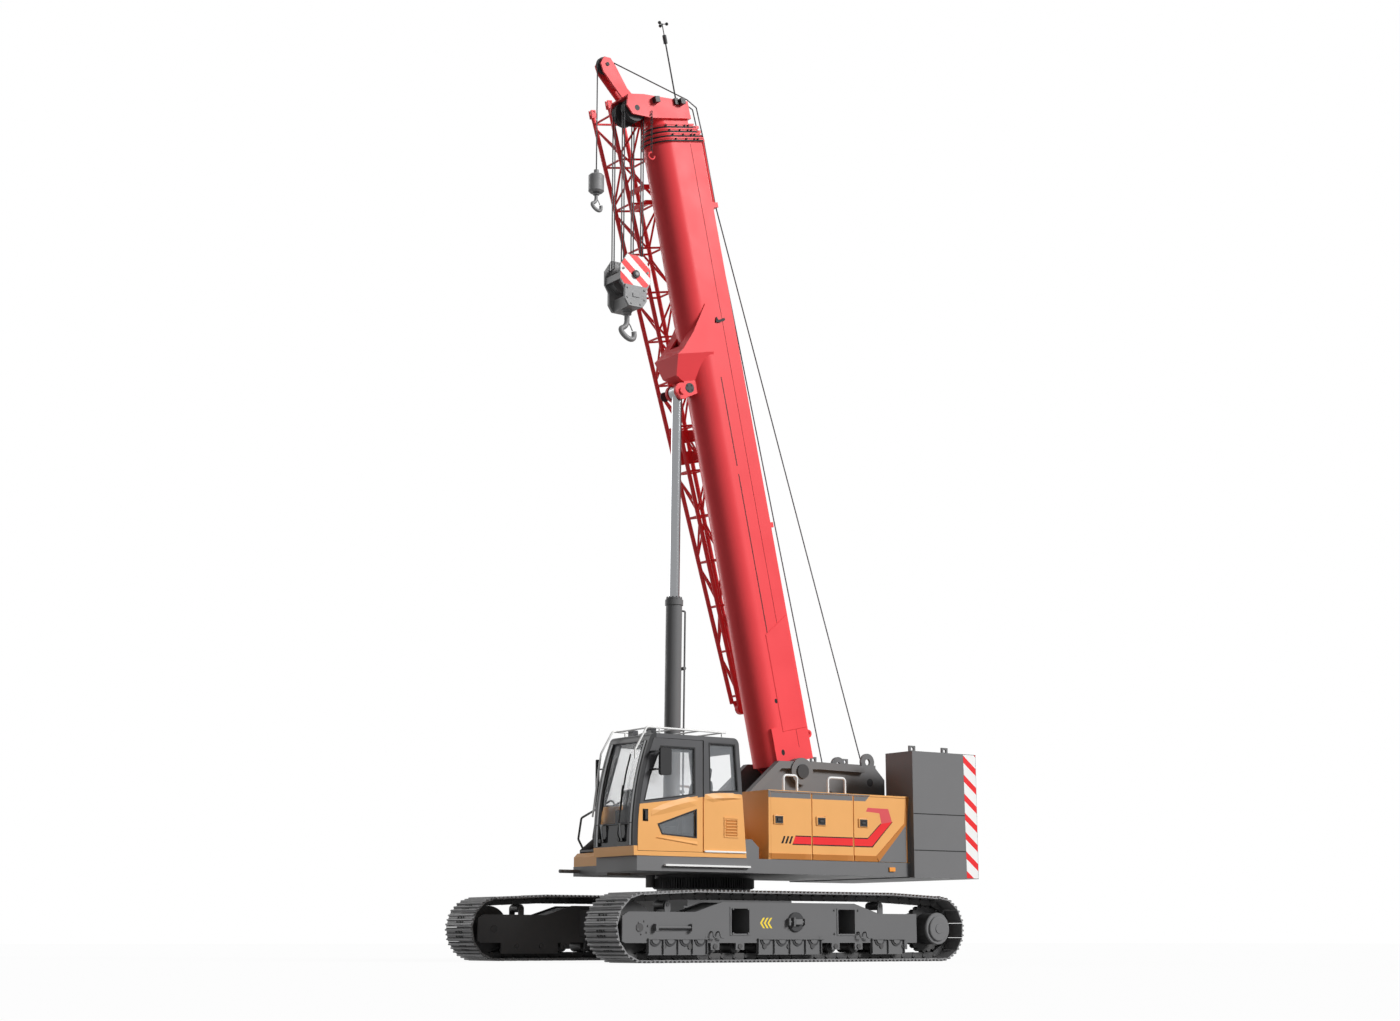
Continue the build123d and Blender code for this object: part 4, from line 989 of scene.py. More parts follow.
class CRANE_OT_ropes(Operator):
    """Reeve the hoist ropes from the winches to the hooks."""

    bl_idname = "crane.ropes"
    bl_label = "Reeve the ropes"

    # drum's centre in the side view and its radius, the rope's place across the boom,
    # and a share for its bend
    winches = {
        "main": ((-2.080, 2.430), 0.245, 0.150, 0.74),
        "aux": ((-2.860, 2.650), 0.215, 0.250, 0.34),
    }
    leave_turn = 150
    coil = 0.030
    bend = 0.010
    guide = (8.745, 0.468)
    back_end = (9.770, 0.468)
    head_start = (10.300, 0.440)
    # each rope over the boom's head: along the boom, above its axis, to its left
    head_runs = (
        [(10.300, 0.440, 0.150), (10.420, 0.300, 0.130), (10.470, -0.600, 0.100)],
        [(10.300, 0.440, 0.250), (10.440, 0.330, 0.200), (11.125, -0.930, 0.0)],
    )
    head_axle = (10.2817, -0.6806)
    block_axle = 10.010
    grooves = (-0.160, -0.100, 0.100, 0.160)
    jib_axle = (11.011, -0.975)
    jib_run = 0.121
    aux_eye = 11.590
    coil_reach = 0.30
    flange = 0.06
    bed = 0.004

    def execute(self, context):
        rope = context.scene.crane_rope
        for name, (centre, radius, y, lift) in self.winches.items():
            guide, end = on_boom(*self.guide, y), on_boom(*self.back_end, y)
            leave = arc(centre, radius + self.coil, self.leave_turn, self.leave_turn, 0.0, 1)[0]
            self.lead(f"{name}_rope_up", leave, guide, lift)
            piece(f"{name}_rope_back", self.strands([guide, end]), ["rope_steel"], "boom_base")
            self.line(f"{name}_rope_stretch", [end, on_boom(*self.head_start, y)], "boom_base", "boom_5")
            self.turns(name, centre, radius, rope)
        runs = [[on_boom(*place) for place in run] for run in self.head_runs]
        piece("head_ropes", self.strands(*runs), ["rope_steel"], "boom_5")
        self.falls(rope)
        return {"FINISHED"}

    def strands(self, *paths):
        """Mesh of ropes along some paths."""
        mesh = bmesh.new()
        for path in paths:
            tube(mesh, path, bpy.context.scene.crane_rope.radius, 8)
        return mesh

    def turns(self, name, centre, radius, rope):
        """Turns of rope side by side on a winch drum."""
        low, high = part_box(f"{name}_winch_drum")
        wide = min(self.coil_reach, (high[1] - low[1]) / 2 - self.flange)
        unit = bmesh.new()
        ring = circle((0, 0, 0), radius + self.bed, (1, 0, 0), 40)
        tube(unit, ring + ring[:1], rope.radius, 6)
        row = [Vector((centre[0], y, centre[1])) for y in (-wide, wide)]
        body = f"{name}_winch"
        repeated(f"{name}_rope_turns", unit, row, rope.turns, (0, 0, 1), "rope_steel", body, closed=False)

    def lead(self, name, leave, guide, lift):
        """Rope from a drum to its guide, straight."""
        along = (guide - leave).normalized()
        made = piece(name, self.strands([leave, leave + self.bend * along, guide]), ["rope_steel"])
        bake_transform(made)

    def line(self, name, path, first, second):
        """Taut straight rope along a path."""
        made = piece(name, self.strands(path), ["rope_steel"])
        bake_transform(made)

    def falls(self, rope):
        """Falls of both hooks and the rope round their sheaves."""
        head = on_boom(*self.head_axle)
        foot = Vector((head.x, 0, self.block_axle))
        over = [arc((head.x, head.z), rope.run, 0, 180, y) for y in self.grooves]
        under = [arc((foot.x, foot.z), rope.run, 180, 360, y) for y in self.grooves]
        piece("head_sheave_ropes", self.strands(*over), ["rope_steel"], "main_sheaves")
        piece("block_sheave_ropes", self.strands(*under), ["rope_steel"], "hook_block")
        places = [(head.x + x, y) for y in self.grooves for x in (-rope.run, rope.run)]
        falls = [[(x, y, head.z), (x, y, foot.z)] for x, y in places]
        made = piece("main_falls", self.strands(*falls), ["rope_steel"])
        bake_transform(made)
        tip = on_boom(*self.jib_axle)
        over = arc((tip.x, tip.z), self.jib_run, 0, 150)
        piece("jib_sheave_rope", self.strands(over), ["rope_steel"], "aux_sheave")
        fall = [Vector((tip.x + self.jib_run, 0, z)) for z in (tip.z, self.aux_eye)]
        self.line("aux_fall", fall, "aux_sheave", "aux_weight")


class CRANE_OT_boom_marks(Operator):
    """Add the boom's seams, slots, pins and chain."""

    bl_idname = "crane.boom_marks"
    bl_label = "Detail the boom"

    # places along the boom and above its axis
    seam = (0.35, 9.70, 0.160)
    slots = ((1.90, 4.55), (4.68, 6.05))
    slot_heights = (-0.062, -0.048)
    holes = ((0.323, -0.158, 0.045, 0.030), (1.094, -0.120, 0.035, 0.025))
    plate = [(0.62, -0.10), (0.62, 0.36), (2.35, 0.36), (2.10, -0.10)]
    plate_top = [(0.63, -0.09), (0.63, 0.35), (2.33, 0.35), (2.09, -0.09)]
    clip_outline = [(6.90, 0.02), (6.98, 0.05), (6.93, 0.08), (6.96, 0.20), (6.92, 0.20), (6.89, 0.08)]
    chain_top = (10.20, -0.44, 0.262)
    chain_drop = 0.62
    bite = 0.004
    # length and rise of the painted shade line at each collar's gap
    joint = (0.026, 0.002)
    flange = (0.024, 0.004, 0.010)
    screws = (0.300, 0.235, 0.080, -0.120)
    screw = 0.013
    screw_place = 0.034
    screw_height = 0.022

    def execute(self, context):
        boom = context.scene.crane_boom
        mesh = bmesh.new()
        for side in (-1, 1):
            self.flank(mesh, side * boom.half_width, side)
        piece("boom_seams", mesh, ["seam_painted_shade_red", "black_and_painted_shade", "boom_red"], "boom_base")
        for step, body in enumerate(("boom_base", "boom_2", "boom_3", "boom_4")):
            self.collar(boom, step, body)
        piece("lift_pin_caps", self.caps(), ["dark_grey_and_painted_shade"], "boom_base")
        self.chain()
        return {"FINISHED"}

    def flank(self, mesh, y, side):
        """Seam bead, slots and holes in painted shade, plate and clip of one side of the boom."""
        s0, s1, n = self.seam
        # the seam bead is finished in painted shade red
        tube(mesh, [on_boom(s0, n, y), on_boom(s1, n, y)], 0.0035, 6, 0)
        # slots and holes: black plates of painted shade where the openings are
        low, high = self.slot_heights
        for s0, s1 in self.slots:
            slot = [(s0, low), (s1, low), (s1, high), (s0, high)]
            decal(mesh, slot, y, side, 1, 0.002, on_boom)
        for hole in self.holes:
            self.hole(mesh, *hole, y, side)
        ridge(mesh, self.plate, self.plate_top, y, y + side * 0.008, 2, on_boom)
        prism(mesh, self.clip_outline, y, y + side * 0.02, 1, on_boom)

    def caps(self):
        """Caps of the lift cylinder's upper pin, four screws on each."""
        mesh = bmesh.new()
        s, n = LIFT_EYE
        ring = 0.052
        for side in (-1, 1):
            tube(mesh, [on_boom(s, n, side * 0.325), on_boom(s, n, side * 0.342)], 0.075, 20)
            for turn in range(4):
                t = math.radians(45 + 90 * turn)
                place = on_boom(s + ring * math.cos(t), n + ring * math.sin(t), side * 0.340)
                tube(mesh, [place, place + Vector((0, side * 0.014, 0))], 0.011, 6)
        return mesh

    def chain(self):
        """Chain that hangs from the head, with its hook."""
        half, tall = 0.030, 0.014
        loop = [(-half, -tall, 0), (half, -tall, 0), (half, tall, 0), (-half, tall, 0)]
        loop.append((-half, 0.001 - tall, 0))
        unit = bmesh.new()
        tube(unit, rounded(loop, tall, 4), 0.005, 6)
        top = on_boom(*self.chain_top)
        low = top - Vector((0, 0, self.chain_drop))
        twist = math.radians(90)
        repeated("head_chain", unit, [top, low], 14, (0, 1, 0), "dark_grey_and_painted_shade", "boom_5", twist, False)
        radius, drop = 0.055, 0.075
        turns = [math.radians(20 + 20 * i) for i in range(14)]
        bow = [low + Vector((radius * math.sin(t), 0, radius * math.cos(t) - drop)) for t in turns]
        mesh = bmesh.new()
        tube(mesh, [low - Vector((0, 0, 0.02))] + bow, 0.014, 10)
        piece("chain_hook", mesh, ["boom_red"], "boom_5")

    def collar(self, boom, step, body):
        """Line of painted shade at the gap behind the collar, raised flange and pad screws of one section's
        collar.
        """
        end = boom.end + boom.step * step
        rise = boom.collar_rise
        mesh = bmesh.new()
        start = end - boom.collar
        length, proud = self.joint
        band(mesh, step, rise - self.bite, rise + proud, start, start + length, 0)
        back, front, proud = self.flange
        band(mesh, step, rise - self.bite, rise + proud, end - back, end - front, 1)
        half = boom.half_width - boom.shrink * step + rise
        for side in (-1, 1):
            for n in self.screws:
                foot = on_boom(end - self.screw_place, n - boom.shrink * step, side * half)
                tube(mesh, [foot, foot + Vector((0, side * self.screw_height, 0))], self.screw, 6, 0)
        piece(f"{body}_collar", mesh, ["black_and_painted_shade", "boom_red"], body)

    def hole(self, mesh, s, n, wide, tall, y, side):
        """Oval hole on the boom's side, drawn as a black plate of painted shade."""
        turns = [2 * math.pi * i / 20 for i in range(20)]
        oval = [(s + wide * math.cos(t), n + tall * math.sin(t)) for t in turns]
        decal(mesh, oval, y, side, 1, 0.002, on_boom)


class CRANE_OT_cab(Operator):
    """Add the cab's seals, trim, wipers, vent, handle and inner fittings."""

    bl_idname = "crane.cab"
    bl_label = "Fit out the cab"

    face = 1.500
    deck = 1.466
    bow_points = ((2.205, 1.405), (2.142, 2.350), (1.935, 3.055))
    screen = (1.545, 2.955)
    # strips of the screen's trim: two values of y and the slot
    trims = (
        (1.392, 1.440, 0), (0.560, 0.608, 0), (1.440, 1.452, 1),
        (0.548, 0.560, 1), (1.380, 1.392, 1), (0.608, 0.620, 1),
    )
    mirror = [(1.708, 2.477), (1.890, 2.477), (1.890, 2.848), (1.708, 2.848)]
    vent = [(0.479, 1.678), (0.718, 1.678), (0.718, 1.958), (0.479, 1.958)]
    wiper_places = (1.165, 0.700)
    blade_heights = (2.02, 2.27, 2.52, 2.78)
    lever_places = (0.700, 1.300)
    pedal_places = (0.900, 1.060, 1.220)
    vent_slats = 6
    slat_pitch = 0.040
    windows = {
        "door": [(1.208, 2.250), (1.212, 2.885), (1.780, 2.885), (1.960, 2.470), (2.050, 2.130)],
        "low": [(1.183, 1.660), (1.183, 2.045), (1.820, 1.830), (1.754, 1.696)],
        "rear": [(0.476, 2.320), (0.530, 2.965), (0.972, 2.965), (0.955, 2.290)],
        "right": [(0.520, 2.250), (0.600, 2.940), (1.800, 2.940), (2.060, 2.100), (1.240, 2.150)],
    }

    def execute(self, context):
        self.door()
        self.side()
        self.front()
        self.inside()
        return {"FINISHED"}

    def bow(self, z):
        """x of the bowed front at a height."""
        (x0, z0), (x1, z1), (x2, z2) = self.bow_points
        d = 2 * (x0 * (z1 - z2) + x1 * (z2 - z0) + x2 * (z0 - z1))
        s0, s1, s2 = x0 * x0 + z0 * z0, x1 * x1 + z1 * z1, x2 * x2 + z2 * z2
        cx = (s0 * (z1 - z2) + s1 * (z2 - z0) + s2 * (z0 - z1)) / d
        cz = (s0 * (x2 - x1) + s1 * (x0 - x2) + s2 * (x1 - x0)) / d
        radius = math.hypot(x0 - cx, z0 - cz)
        return cx + math.sqrt(radius**2 - (z - cz) ** 2)

    def seal(self, mesh, name, y):
        """Rubber seal round a window of the left side."""
        border(mesh, shrink(self.windows[name], -0.006), 0.018, y - 0.025, y + 0.004)

    def door(self):
        """Seals, crease, handle and mirror face of the door."""
        y = self.face
        mesh = bmesh.new()
        for name in ("door", "low"):
            self.seal(mesh, name, y)
        piece("door_seals", mesh, ["black_rubber"], "cab_door")
        mesh = bmesh.new()
        upper = [(1.930, 1.945), (1.760, 2.020), (1.560, 2.085), (1.320, 2.140), (1.165, 2.168)]
        lower = [(1.930, 1.925), (1.760, 1.955), (1.560, 2.000), (1.320, 2.058), (1.165, 2.098)]
        self.crease(mesh, upper, lower, y)
        fold = [(1.860, 1.640), (1.165, 1.555), (1.165, 1.608), (1.800, 1.668)]
        crest = [(1.840, 1.648), (1.180, 1.570), (1.180, 1.576), (1.800, 1.656)]
        ridge(mesh, fold, crest, y - SINK, y + 0.014)
        piece("door_crease", mesh, ["body_orange"], "cab_door")
        mesh = bmesh.new()
        brick(mesh, (1.985, y - 0.004, 1.865), (2.065, y + 0.006, 2.020), 0, 0.003)
        brick(mesh, (2.005, y, 1.885), (2.045, y + 0.028, 2.000), 1, 0.008)
        piece("door_handle", mesh, ["black_and_painted_shade", "black_plastic"], "cab_door")
        mesh = bmesh.new()
        prism(mesh, shrink(self.mirror, 0.028), y + 0.1085, y + 0.1105)
        piece("mirror_face", mesh, ["mirror_face"], "cab_door")

    def crease(self, mesh, upper, lower, y):
        """Raised fold: a slope down to the upper line and a steep return to the lower line."""
        rows = []
        for i, ((xu, zu), (xl, zl)) in enumerate(zip(upper, lower)):
            out = y + 0.004 + 0.022 * math.sin(math.pi * i / (len(upper) - 1))
            rows.append([(xu, y - SINK, zu + 0.075), (xu, out, zu), (xl, y - SINK, zl)])
        verts = [[mesh.verts.new(p) for p in row] for row in rows]
        for one, two in zip(verts, verts[1:]):
            for k in range(3):
                m = (k + 1) % 3
                mesh.faces.new((one[k], one[m], two[m], two[k]))
        mesh.faces.new(verts[0])
        mesh.faces.new(verts[-1][::-1])

    def side(self):
        """Rear panel: seal, crease, vent with painted shade behind its slats, and the door's sliding rail,
        white as its painted highlight.
        """
        y = self.face
        mesh = bmesh.new()
        self.seal(mesh, "rear", y)
        border(mesh, shrink(self.windows["right"], -0.012), 0.030, 0.495, 0.525)
        piece("cab_seals", mesh, ["black_rubber"], "upper")
        mesh = bmesh.new()
        upper = [(1.045, 2.186), (0.900, 2.204), (0.720, 2.216), (0.560, 2.220), (0.420, 2.220)]
        lower = [(1.045, 2.122), (0.900, 2.150), (0.720, 2.180), (0.560, 2.203), (0.420, 2.214)]
        self.crease(mesh, upper, lower, y)
        border(mesh, self.vent, 0.020, y - 0.002, y + 0.010)
        for i in range(self.vent_slats):
            z = 1.705 + self.slat_pitch * i
            slat = [(0.505, z), (0.692, z), (0.692, z + 0.026), (0.505, z + 0.026)]
            edge = [(0.508, z + 0.012), (0.689, z + 0.012), (0.689, z + 0.024), (0.508, z + 0.024)]
            ridge(mesh, slat, edge, y - SINK, y + 0.014)
        # painted shade: a darker orange plate behind the slats, for the shade between them
        brick(mesh, (0.485, y - 0.002, 1.690), (0.712, y + 0.002, 1.946), 1)
        piece("panel_crease_and_vent", mesh, ["body_orange", "painted_shade_orange"], "upper")
        mesh = bmesh.new()
        # sliding rail of the door: a raised strip, painted white as the highlight along it
        brick(mesh, (0.350, y - 0.002, 1.468), (1.056, y + 0.022, 1.494), 0, 0.006)
        piece("panel_strip", mesh, ["rail_white"], "upper")

    def front(self):
        """Trim, wipers and mirror of the bowed front."""
        mesh = bmesh.new()
        for y0, y1, slot in self.trims:
            self.trim(mesh, y0, y1, slot)
        bar = 1.835
        slab(mesh, (self.bow(bar) - 0.03, self.bow(bar) + 0.004), (0.56, 1.44), (bar - 0.009, bar + 0.009), 1)
        piece("screen_trim", mesh, ["silver_trim", "black_rubber"], "upper")
        mesh = bmesh.new()
        for y in self.wiper_places:
            self.wiper(mesh, y)
        piece("wipers", mesh, ["black_and_painted_shade", "silver_trim"], "upper")
        mesh = bmesh.new()
        brick(mesh, (2.045, 0.352, 2.020), (2.105, 0.388, 2.760), 0, 0.014)
        for z in (2.16, 2.62):
            tube(mesh, rounded([(2.075, 0.385, z), (2.075, 0.450, z), (2.030, 0.515, z)], 0.03), 0.010, 8)
        piece("right_mirror", mesh, ["black_plastic"], "upper")

    def trim(self, mesh, y0, y1, slot):
        """Strip of trim that follows the bowed screen."""
        low, high = self.screen
        proud = 0.004 if slot == 0 else 0.007
        rows = []
        for z in [low + (high - low) * i / 14 for i in range(15)]:
            near, far = self.bow(z) - 0.030, self.bow(z) + proud
            corners = ((near, y0, z), (far, y0, z), (far, y1, z), (near, y1, z))
            rows.append([mesh.verts.new(corner) for corner in corners])
        faces = [mesh.faces.new(rows[0]), mesh.faces.new(rows[-1][::-1])]
        for one, two in zip(rows, rows[1:]):
            for k in range(4):
                faces.append(mesh.faces.new((one[k - 1], one[k], two[k], two[k - 1])))
        for face in faces:
            face.material_index = slot

    def wiper(self, mesh, y):
        """Blade, arm, motor cap and jet of one wiper."""
        def ahead(z, out):
            """Point in front of the screen."""
            return Vector((self.bow(z) + out, y, z))

        tube(mesh, [ahead(z, 0.016) for z in self.blade_heights], 0.012, 8, 0)
        tube(mesh, [ahead(1.62, 0.012), ahead(1.70, 0.040), ahead(2.35, 0.036)], 0.009, 8, 0)
        tube(mesh, [ahead(1.62, -0.02), ahead(1.62, 0.035)], 0.028, 12, 0)
        jet = [(self.bow(1.67) + 0.01, y + 0.05, 1.60), (self.bow(1.70) + 0.03, y + 0.03, 1.84)]
        tube(mesh, jet, 0.012, 8, 1)

    def inside(self):
        """Levers, screen, pedals and floor mat."""
        mesh = bmesh.new()
        for y in self.lever_places:
            brick(mesh, (0.820, y - 0.070, 1.700), (1.330, y + 0.070, 1.980), 0, 0.030)
            tube(mesh, [(1.250, y, 1.970), (1.260, y, 2.120)], 0.016, 10, 1)
            tube(mesh, [(1.258, y, 2.100), (1.268, y, 2.230)], 0.030, 12, 1)
        brick(mesh, (1.790, 0.640, 2.050), (1.830, 0.960, 2.330), 1, 0.012)
        for y in self.pedal_places:
            brick(mesh, (1.880, y - 0.050, 1.475), (2.020, y + 0.050, 1.520), 1, 0.010)
            tube(mesh, [(1.950, y, 1.500), (1.900, y, 1.800)], 0.012, 8, 0)
            tube(mesh, [(1.900, y, 1.795), (1.900, y, 1.850)], 0.024, 12, 1)
        piece("cab_controls", mesh, ["black_plastic", "black_and_painted_shade"], "upper")
        mesh = bmesh.new()
        slab(mesh, (0.40, 2.05), (0.570, 1.420), (self.deck, self.deck + 0.008))
        piece("cab_mat", mesh, ["black_rubber"], "upper")


class CRANE_OT_seat(Operator):
    """Upholster the operator's seat."""

    bl_idname = "crane.seat"
    bl_label = "Upholster the seat"

    base = ((0.800, 0.780, 1.466), (1.250, 1.220, 1.700))
    tilt = math.radians(-9)
    # middle, half sizes and lean of the cushion, the back and the headrest
    pads = (
        ((1.020, 1.000, 1.770), (0.260, 0.260, 0.070), 0.0),
        ((0.790, 1.000, 2.140), (0.075, 0.230, 0.370), tilt),
        ((0.700, 1.000, 2.580), (0.050, 0.140, 0.090), tilt),
    )

    def execute(self, context):
        mesh = bmesh.new()
        brick(mesh, *self.base, 1, 0.020)
        for middle, half, lean in self.pads:
            self.pad(mesh, middle, half, lean)
        made = piece("seat_padding", mesh, ["seat_cloth", "black_plastic"], "upper")
        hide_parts("cab_seat")
        return {"FINISHED"}

    def pad(self, mesh, centre, half, lean):
        """Stuffed pad: a rounded block, fuller in its middle."""
        count = 14
        power = 0.42

        def swell(value):
            """Signed power that fills a ball out to a block."""
            return math.copysign(abs(value) ** power, value)

        rows = []
        for i in range(1, count):
            a = math.pi * (i / count - 0.5)
            row = []
            for k in range(2 * count):
                b = math.pi * k / count
                flat = Vector((
                    swell(math.cos(a)) * swell(math.cos(b)) * half[0],
                    swell(math.cos(a)) * swell(math.sin(b)) * half[1],
                    swell(math.sin(a)) * half[2],
                ))
                turned = Vector((
                    flat.x * math.cos(lean) + flat.z * math.sin(lean), flat.y,
                    flat.z * math.cos(lean) - flat.x * math.sin(lean),
                ))
                row.append(mesh.verts.new(Vector(centre) + turned))
            rows.append(row)
        for one, two in zip(rows, rows[1:]):
            for k in range(2 * count):
                m = (k + 1) % (2 * count)
                mesh.faces.new((one[k], one[m], two[m], two[k])).smooth = True
        mesh.faces.new(rows[0][::-1]).smooth = True
        mesh.faces.new(rows[-1]).smooth = True


class CRANE_OT_covers(Operator):
    """Add the latches, lips, bands and stripes of the side covers."""

    bl_idname = "crane.covers"
    bl_label = "Mark the covers"

    seams = (-0.130, -0.915, -1.684, -2.740)
    face = 1.400
    marks = {
        "works_grey": [
            [(-0.130, 2.271), (-0.130, 2.368), (-1.995, 2.368), (-1.905, 2.277)],
            [(-2.738, 2.330), (-2.700, 1.980), (-2.142, 1.412), (-2.738, 1.412)],
        ],
        "black_and_painted_shade": [
            [(-0.351, 1.630), (-0.388, 1.630), (-0.431, 1.735), (-0.398, 1.735)],
            [(-0.418, 1.630), (-0.455, 1.630), (-0.499, 1.735), (-0.465, 1.735)],
            [(-0.485, 1.630), (-0.522, 1.630), (-0.567, 1.735), (-0.533, 1.735)],
            [(-0.603, 1.733), (-0.609, 1.748), (-1.944, 1.748), (-1.938, 1.733)],
            [(-0.556, 1.630), (-0.550, 1.614), (-2.028, 1.614), (-2.020, 1.631)],
            [(-1.938, 1.733), (-1.944, 1.752), (-2.188, 1.966), (-2.203, 1.961)],
            [(-2.020, 1.631), (-2.028, 1.612), (-2.424, 1.996), (-2.408, 1.993)],
        ],
        "mark_red": [
            [(-0.556, 1.630), (-0.603, 1.733), (-1.938, 1.733), (-2.020, 1.631)],
            [(-2.020, 1.631), (-1.938, 1.733), (-2.203, 1.961), (-2.408, 1.993)],
        ],
        "pale_red": [
            [(-2.203, 1.961), (-2.408, 1.993), (-2.340, 2.181), (-2.168, 2.112)],
            [(-2.168, 2.112), (-2.340, 2.181), (-1.947, 2.186), (-1.913, 2.128)],
        ],
    }
    # outlines of the covers' lips; their darker orange is painted shade of the downward-facing bevel
    lips = (
        [(-0.145, 1.490), (-2.098, 1.492), (-2.142, 1.412), (-0.145, 1.412)],
        [(-2.640, 1.978), (-2.098, 1.492), (-2.142, 1.412), (-2.700, 1.980)],
        [(-2.680, 2.366), (-2.640, 1.978), (-2.700, 1.980), (-2.734, 2.366)],
    )
    proud = 0.0005
    flat = 0.045
    ramp = 0.065
    rise = 0.010
    gap = 0.003
    play = 0.002
    post = 0.040
    fillet = 0.020
    lid = 2.343
    tall = 3.0
    latches = (-0.307, -1.074, -1.855)
    # half width, heights, how far it stands out, slot and softened edge of each layer of a latch
    latch_layers = (
        (0.092, 1.895, 2.030, 0.016, 0, 0.010), (0.052, 1.926, 1.996, 0.018, 2, 0.003),
        (0.032, 1.944, 1.978, 0.026, 1, 0.004),
    )

    def execute(self, context):
        finishes = [*self.marks, "painted_shade_orange"]
        for side, name in ((1, "left"), (-1, "right")):
            y = side * self.face
            for i in range(3):
                body = f"{name}_cover_{i + 1}"
                front = self.seams[i] - self.gap - (self.post if i == 0 else 0)
                rear = self.seams[i + 1] + self.gap + (self.post if i == 2 else 0) + self.fillet
                mesh = bmesh.new()
                self.dressing(mesh, y, side, (rear, front - self.play), (0.0, self.lid), rear)
                piece(f"{body}_marks", mesh, finishes, body)
                self.latch(body, self.latches[i], y, side)
            mesh = bmesh.new()
            front, rear = self.seams[0] - self.post, self.seams[3] + self.post
            reach = self.flat + self.ramp
            posts = (0.0, self.tall)
            self.dressing(mesh, y, side, (front, self.seams[0]), posts, front - reach)
            self.dressing(mesh, y, side, (self.seams[3], rear - self.play), posts, self.seams[3] - self.flat)
            self.dressing(mesh, y, side, (rear, front), (self.lid + 0.008, self.tall), rear - reach)
            piece(f"{name}_housing_marks", mesh, finishes, "upper")
        return {"FINISHED"}

    def dressing(self, mesh, y, side, span, heights, hinge):
        """Parts of the marks and lips within a span of x and of height; lips flatten towards a hinge edge."""
        for slot, outlines in enumerate(self.marks.values()):
            for outline in outlines:
                part = clip(clip(outline, (1, 0), *span), (0, 1), *heights)
                if len(part) > 2:
                    decal(mesh, part, y, side, slot, self.proud)
        knees = [min(span[0] + reach, span[1]) for reach in (0.0, self.flat, self.flat + self.ramp)]
        for outline in self.lips:
            for low, high in zip(knees, [*knees[1:], span[1]]):
                part = clip(clip(outline, (1, 0), low, high), (0, 1), *heights)
                if len(part) > 2:
                    self.lip(mesh, outline, part, y, side, hinge)

    def latch(self, body, x, y, side):
        """Latch in its raised pad."""
        mesh = bmesh.new()
        for wide, low, high, out, slot, soft in self.latch_layers:
            slab(mesh, (x - wide, x + wide), (y, y + side * out), (low, high), slot, soft)
        rim = [(x - 0.068, 1.910), (x + 0.068, 1.910), (x + 0.068, 2.012), (x - 0.068, 2.012)]
        border(mesh, rim, 0.016, y, y + side * 0.020, 1)
        piece(f"{body}_latch", mesh, ["body_orange", "dark_grey_and_painted_shade", "black_and_painted_shade"], body)

    def lip(self, mesh, outline, part, y, side, hinge):
        """Bevelled lip: proud along its inner line, flush along its outer line and at the hinge edge; its
        darker orange is painted shade of the downward-facing bevel.
        """
        inner, outer = Vector(outline[0]), Vector(outline[3])
        across = outer - inner
        high = []
        for a, b in part:
            share = (Vector((a, b)) - inner).dot(across) / across.length_squared
            clear = max(0.0, min(1.0, (a - hinge - self.flat) / self.ramp))
            out = self.proud + self.rise * clear * max(0.0, min(1.0, 1 - share))
            high.append((a, y + side * out, b))
        shell(mesh, [(a, y - side * SINK, b) for a, b in part], high, len(self.marks))


class CRANE_OT_weight(Operator):
    """Stripe the counterweight, add its keys and paint shade along its seams."""

    bl_idname = "crane.weight"
    bl_label = "Mark the counterweight"

    seams = (1.592, 2.126)
    seam = 0.007
    face = 1.500
    rear = -4.040
    front = -2.742
    panel = [(-4.005, 1.200), (-3.775, 1.200), (-3.757, 3.042), (-4.005, 3.042)]
    keys = (-1.0, -0.5, 0.5, 1.0)

    def execute(self, context):
        mesh = bmesh.new()
        for side in (-1, 1):
            striped(mesh, self.panel, (-0.774, 1.0), 0.225, 0.38, side * self.face, side)
        piece("weight_stripes", mesh, ["mark_red", "mark_white"], "upper")
        mesh = bmesh.new()
        depth = (self.rear - 0.006, self.rear + 0.004)
        for y in self.keys:
            for z in self.seams:
                slab(mesh, depth, (y - 0.05, y + 0.05), (z - 0.035, z + 0.035), 0, 0.003)
        piece("weight_keys", mesh, ["works_grey"], "upper")
        # painted shade: black strips along the gaps between the stacked weights
        mesh = bmesh.new()
        for z in self.seams:
            heights = (z - self.seam, z + self.seam)
            for side in (-1, 1):
                depth = (side * (self.face - SINK), side * (self.face + SINK))
                slab(mesh, (self.rear + 0.030, self.front), depth, heights)
            slab(mesh, (self.rear - SINK, self.rear + SINK), (-1.470, 1.470), heights)
        piece("weight_seams", mesh, ["black_and_painted_shade"], "upper")
        return {"FINISHED"}


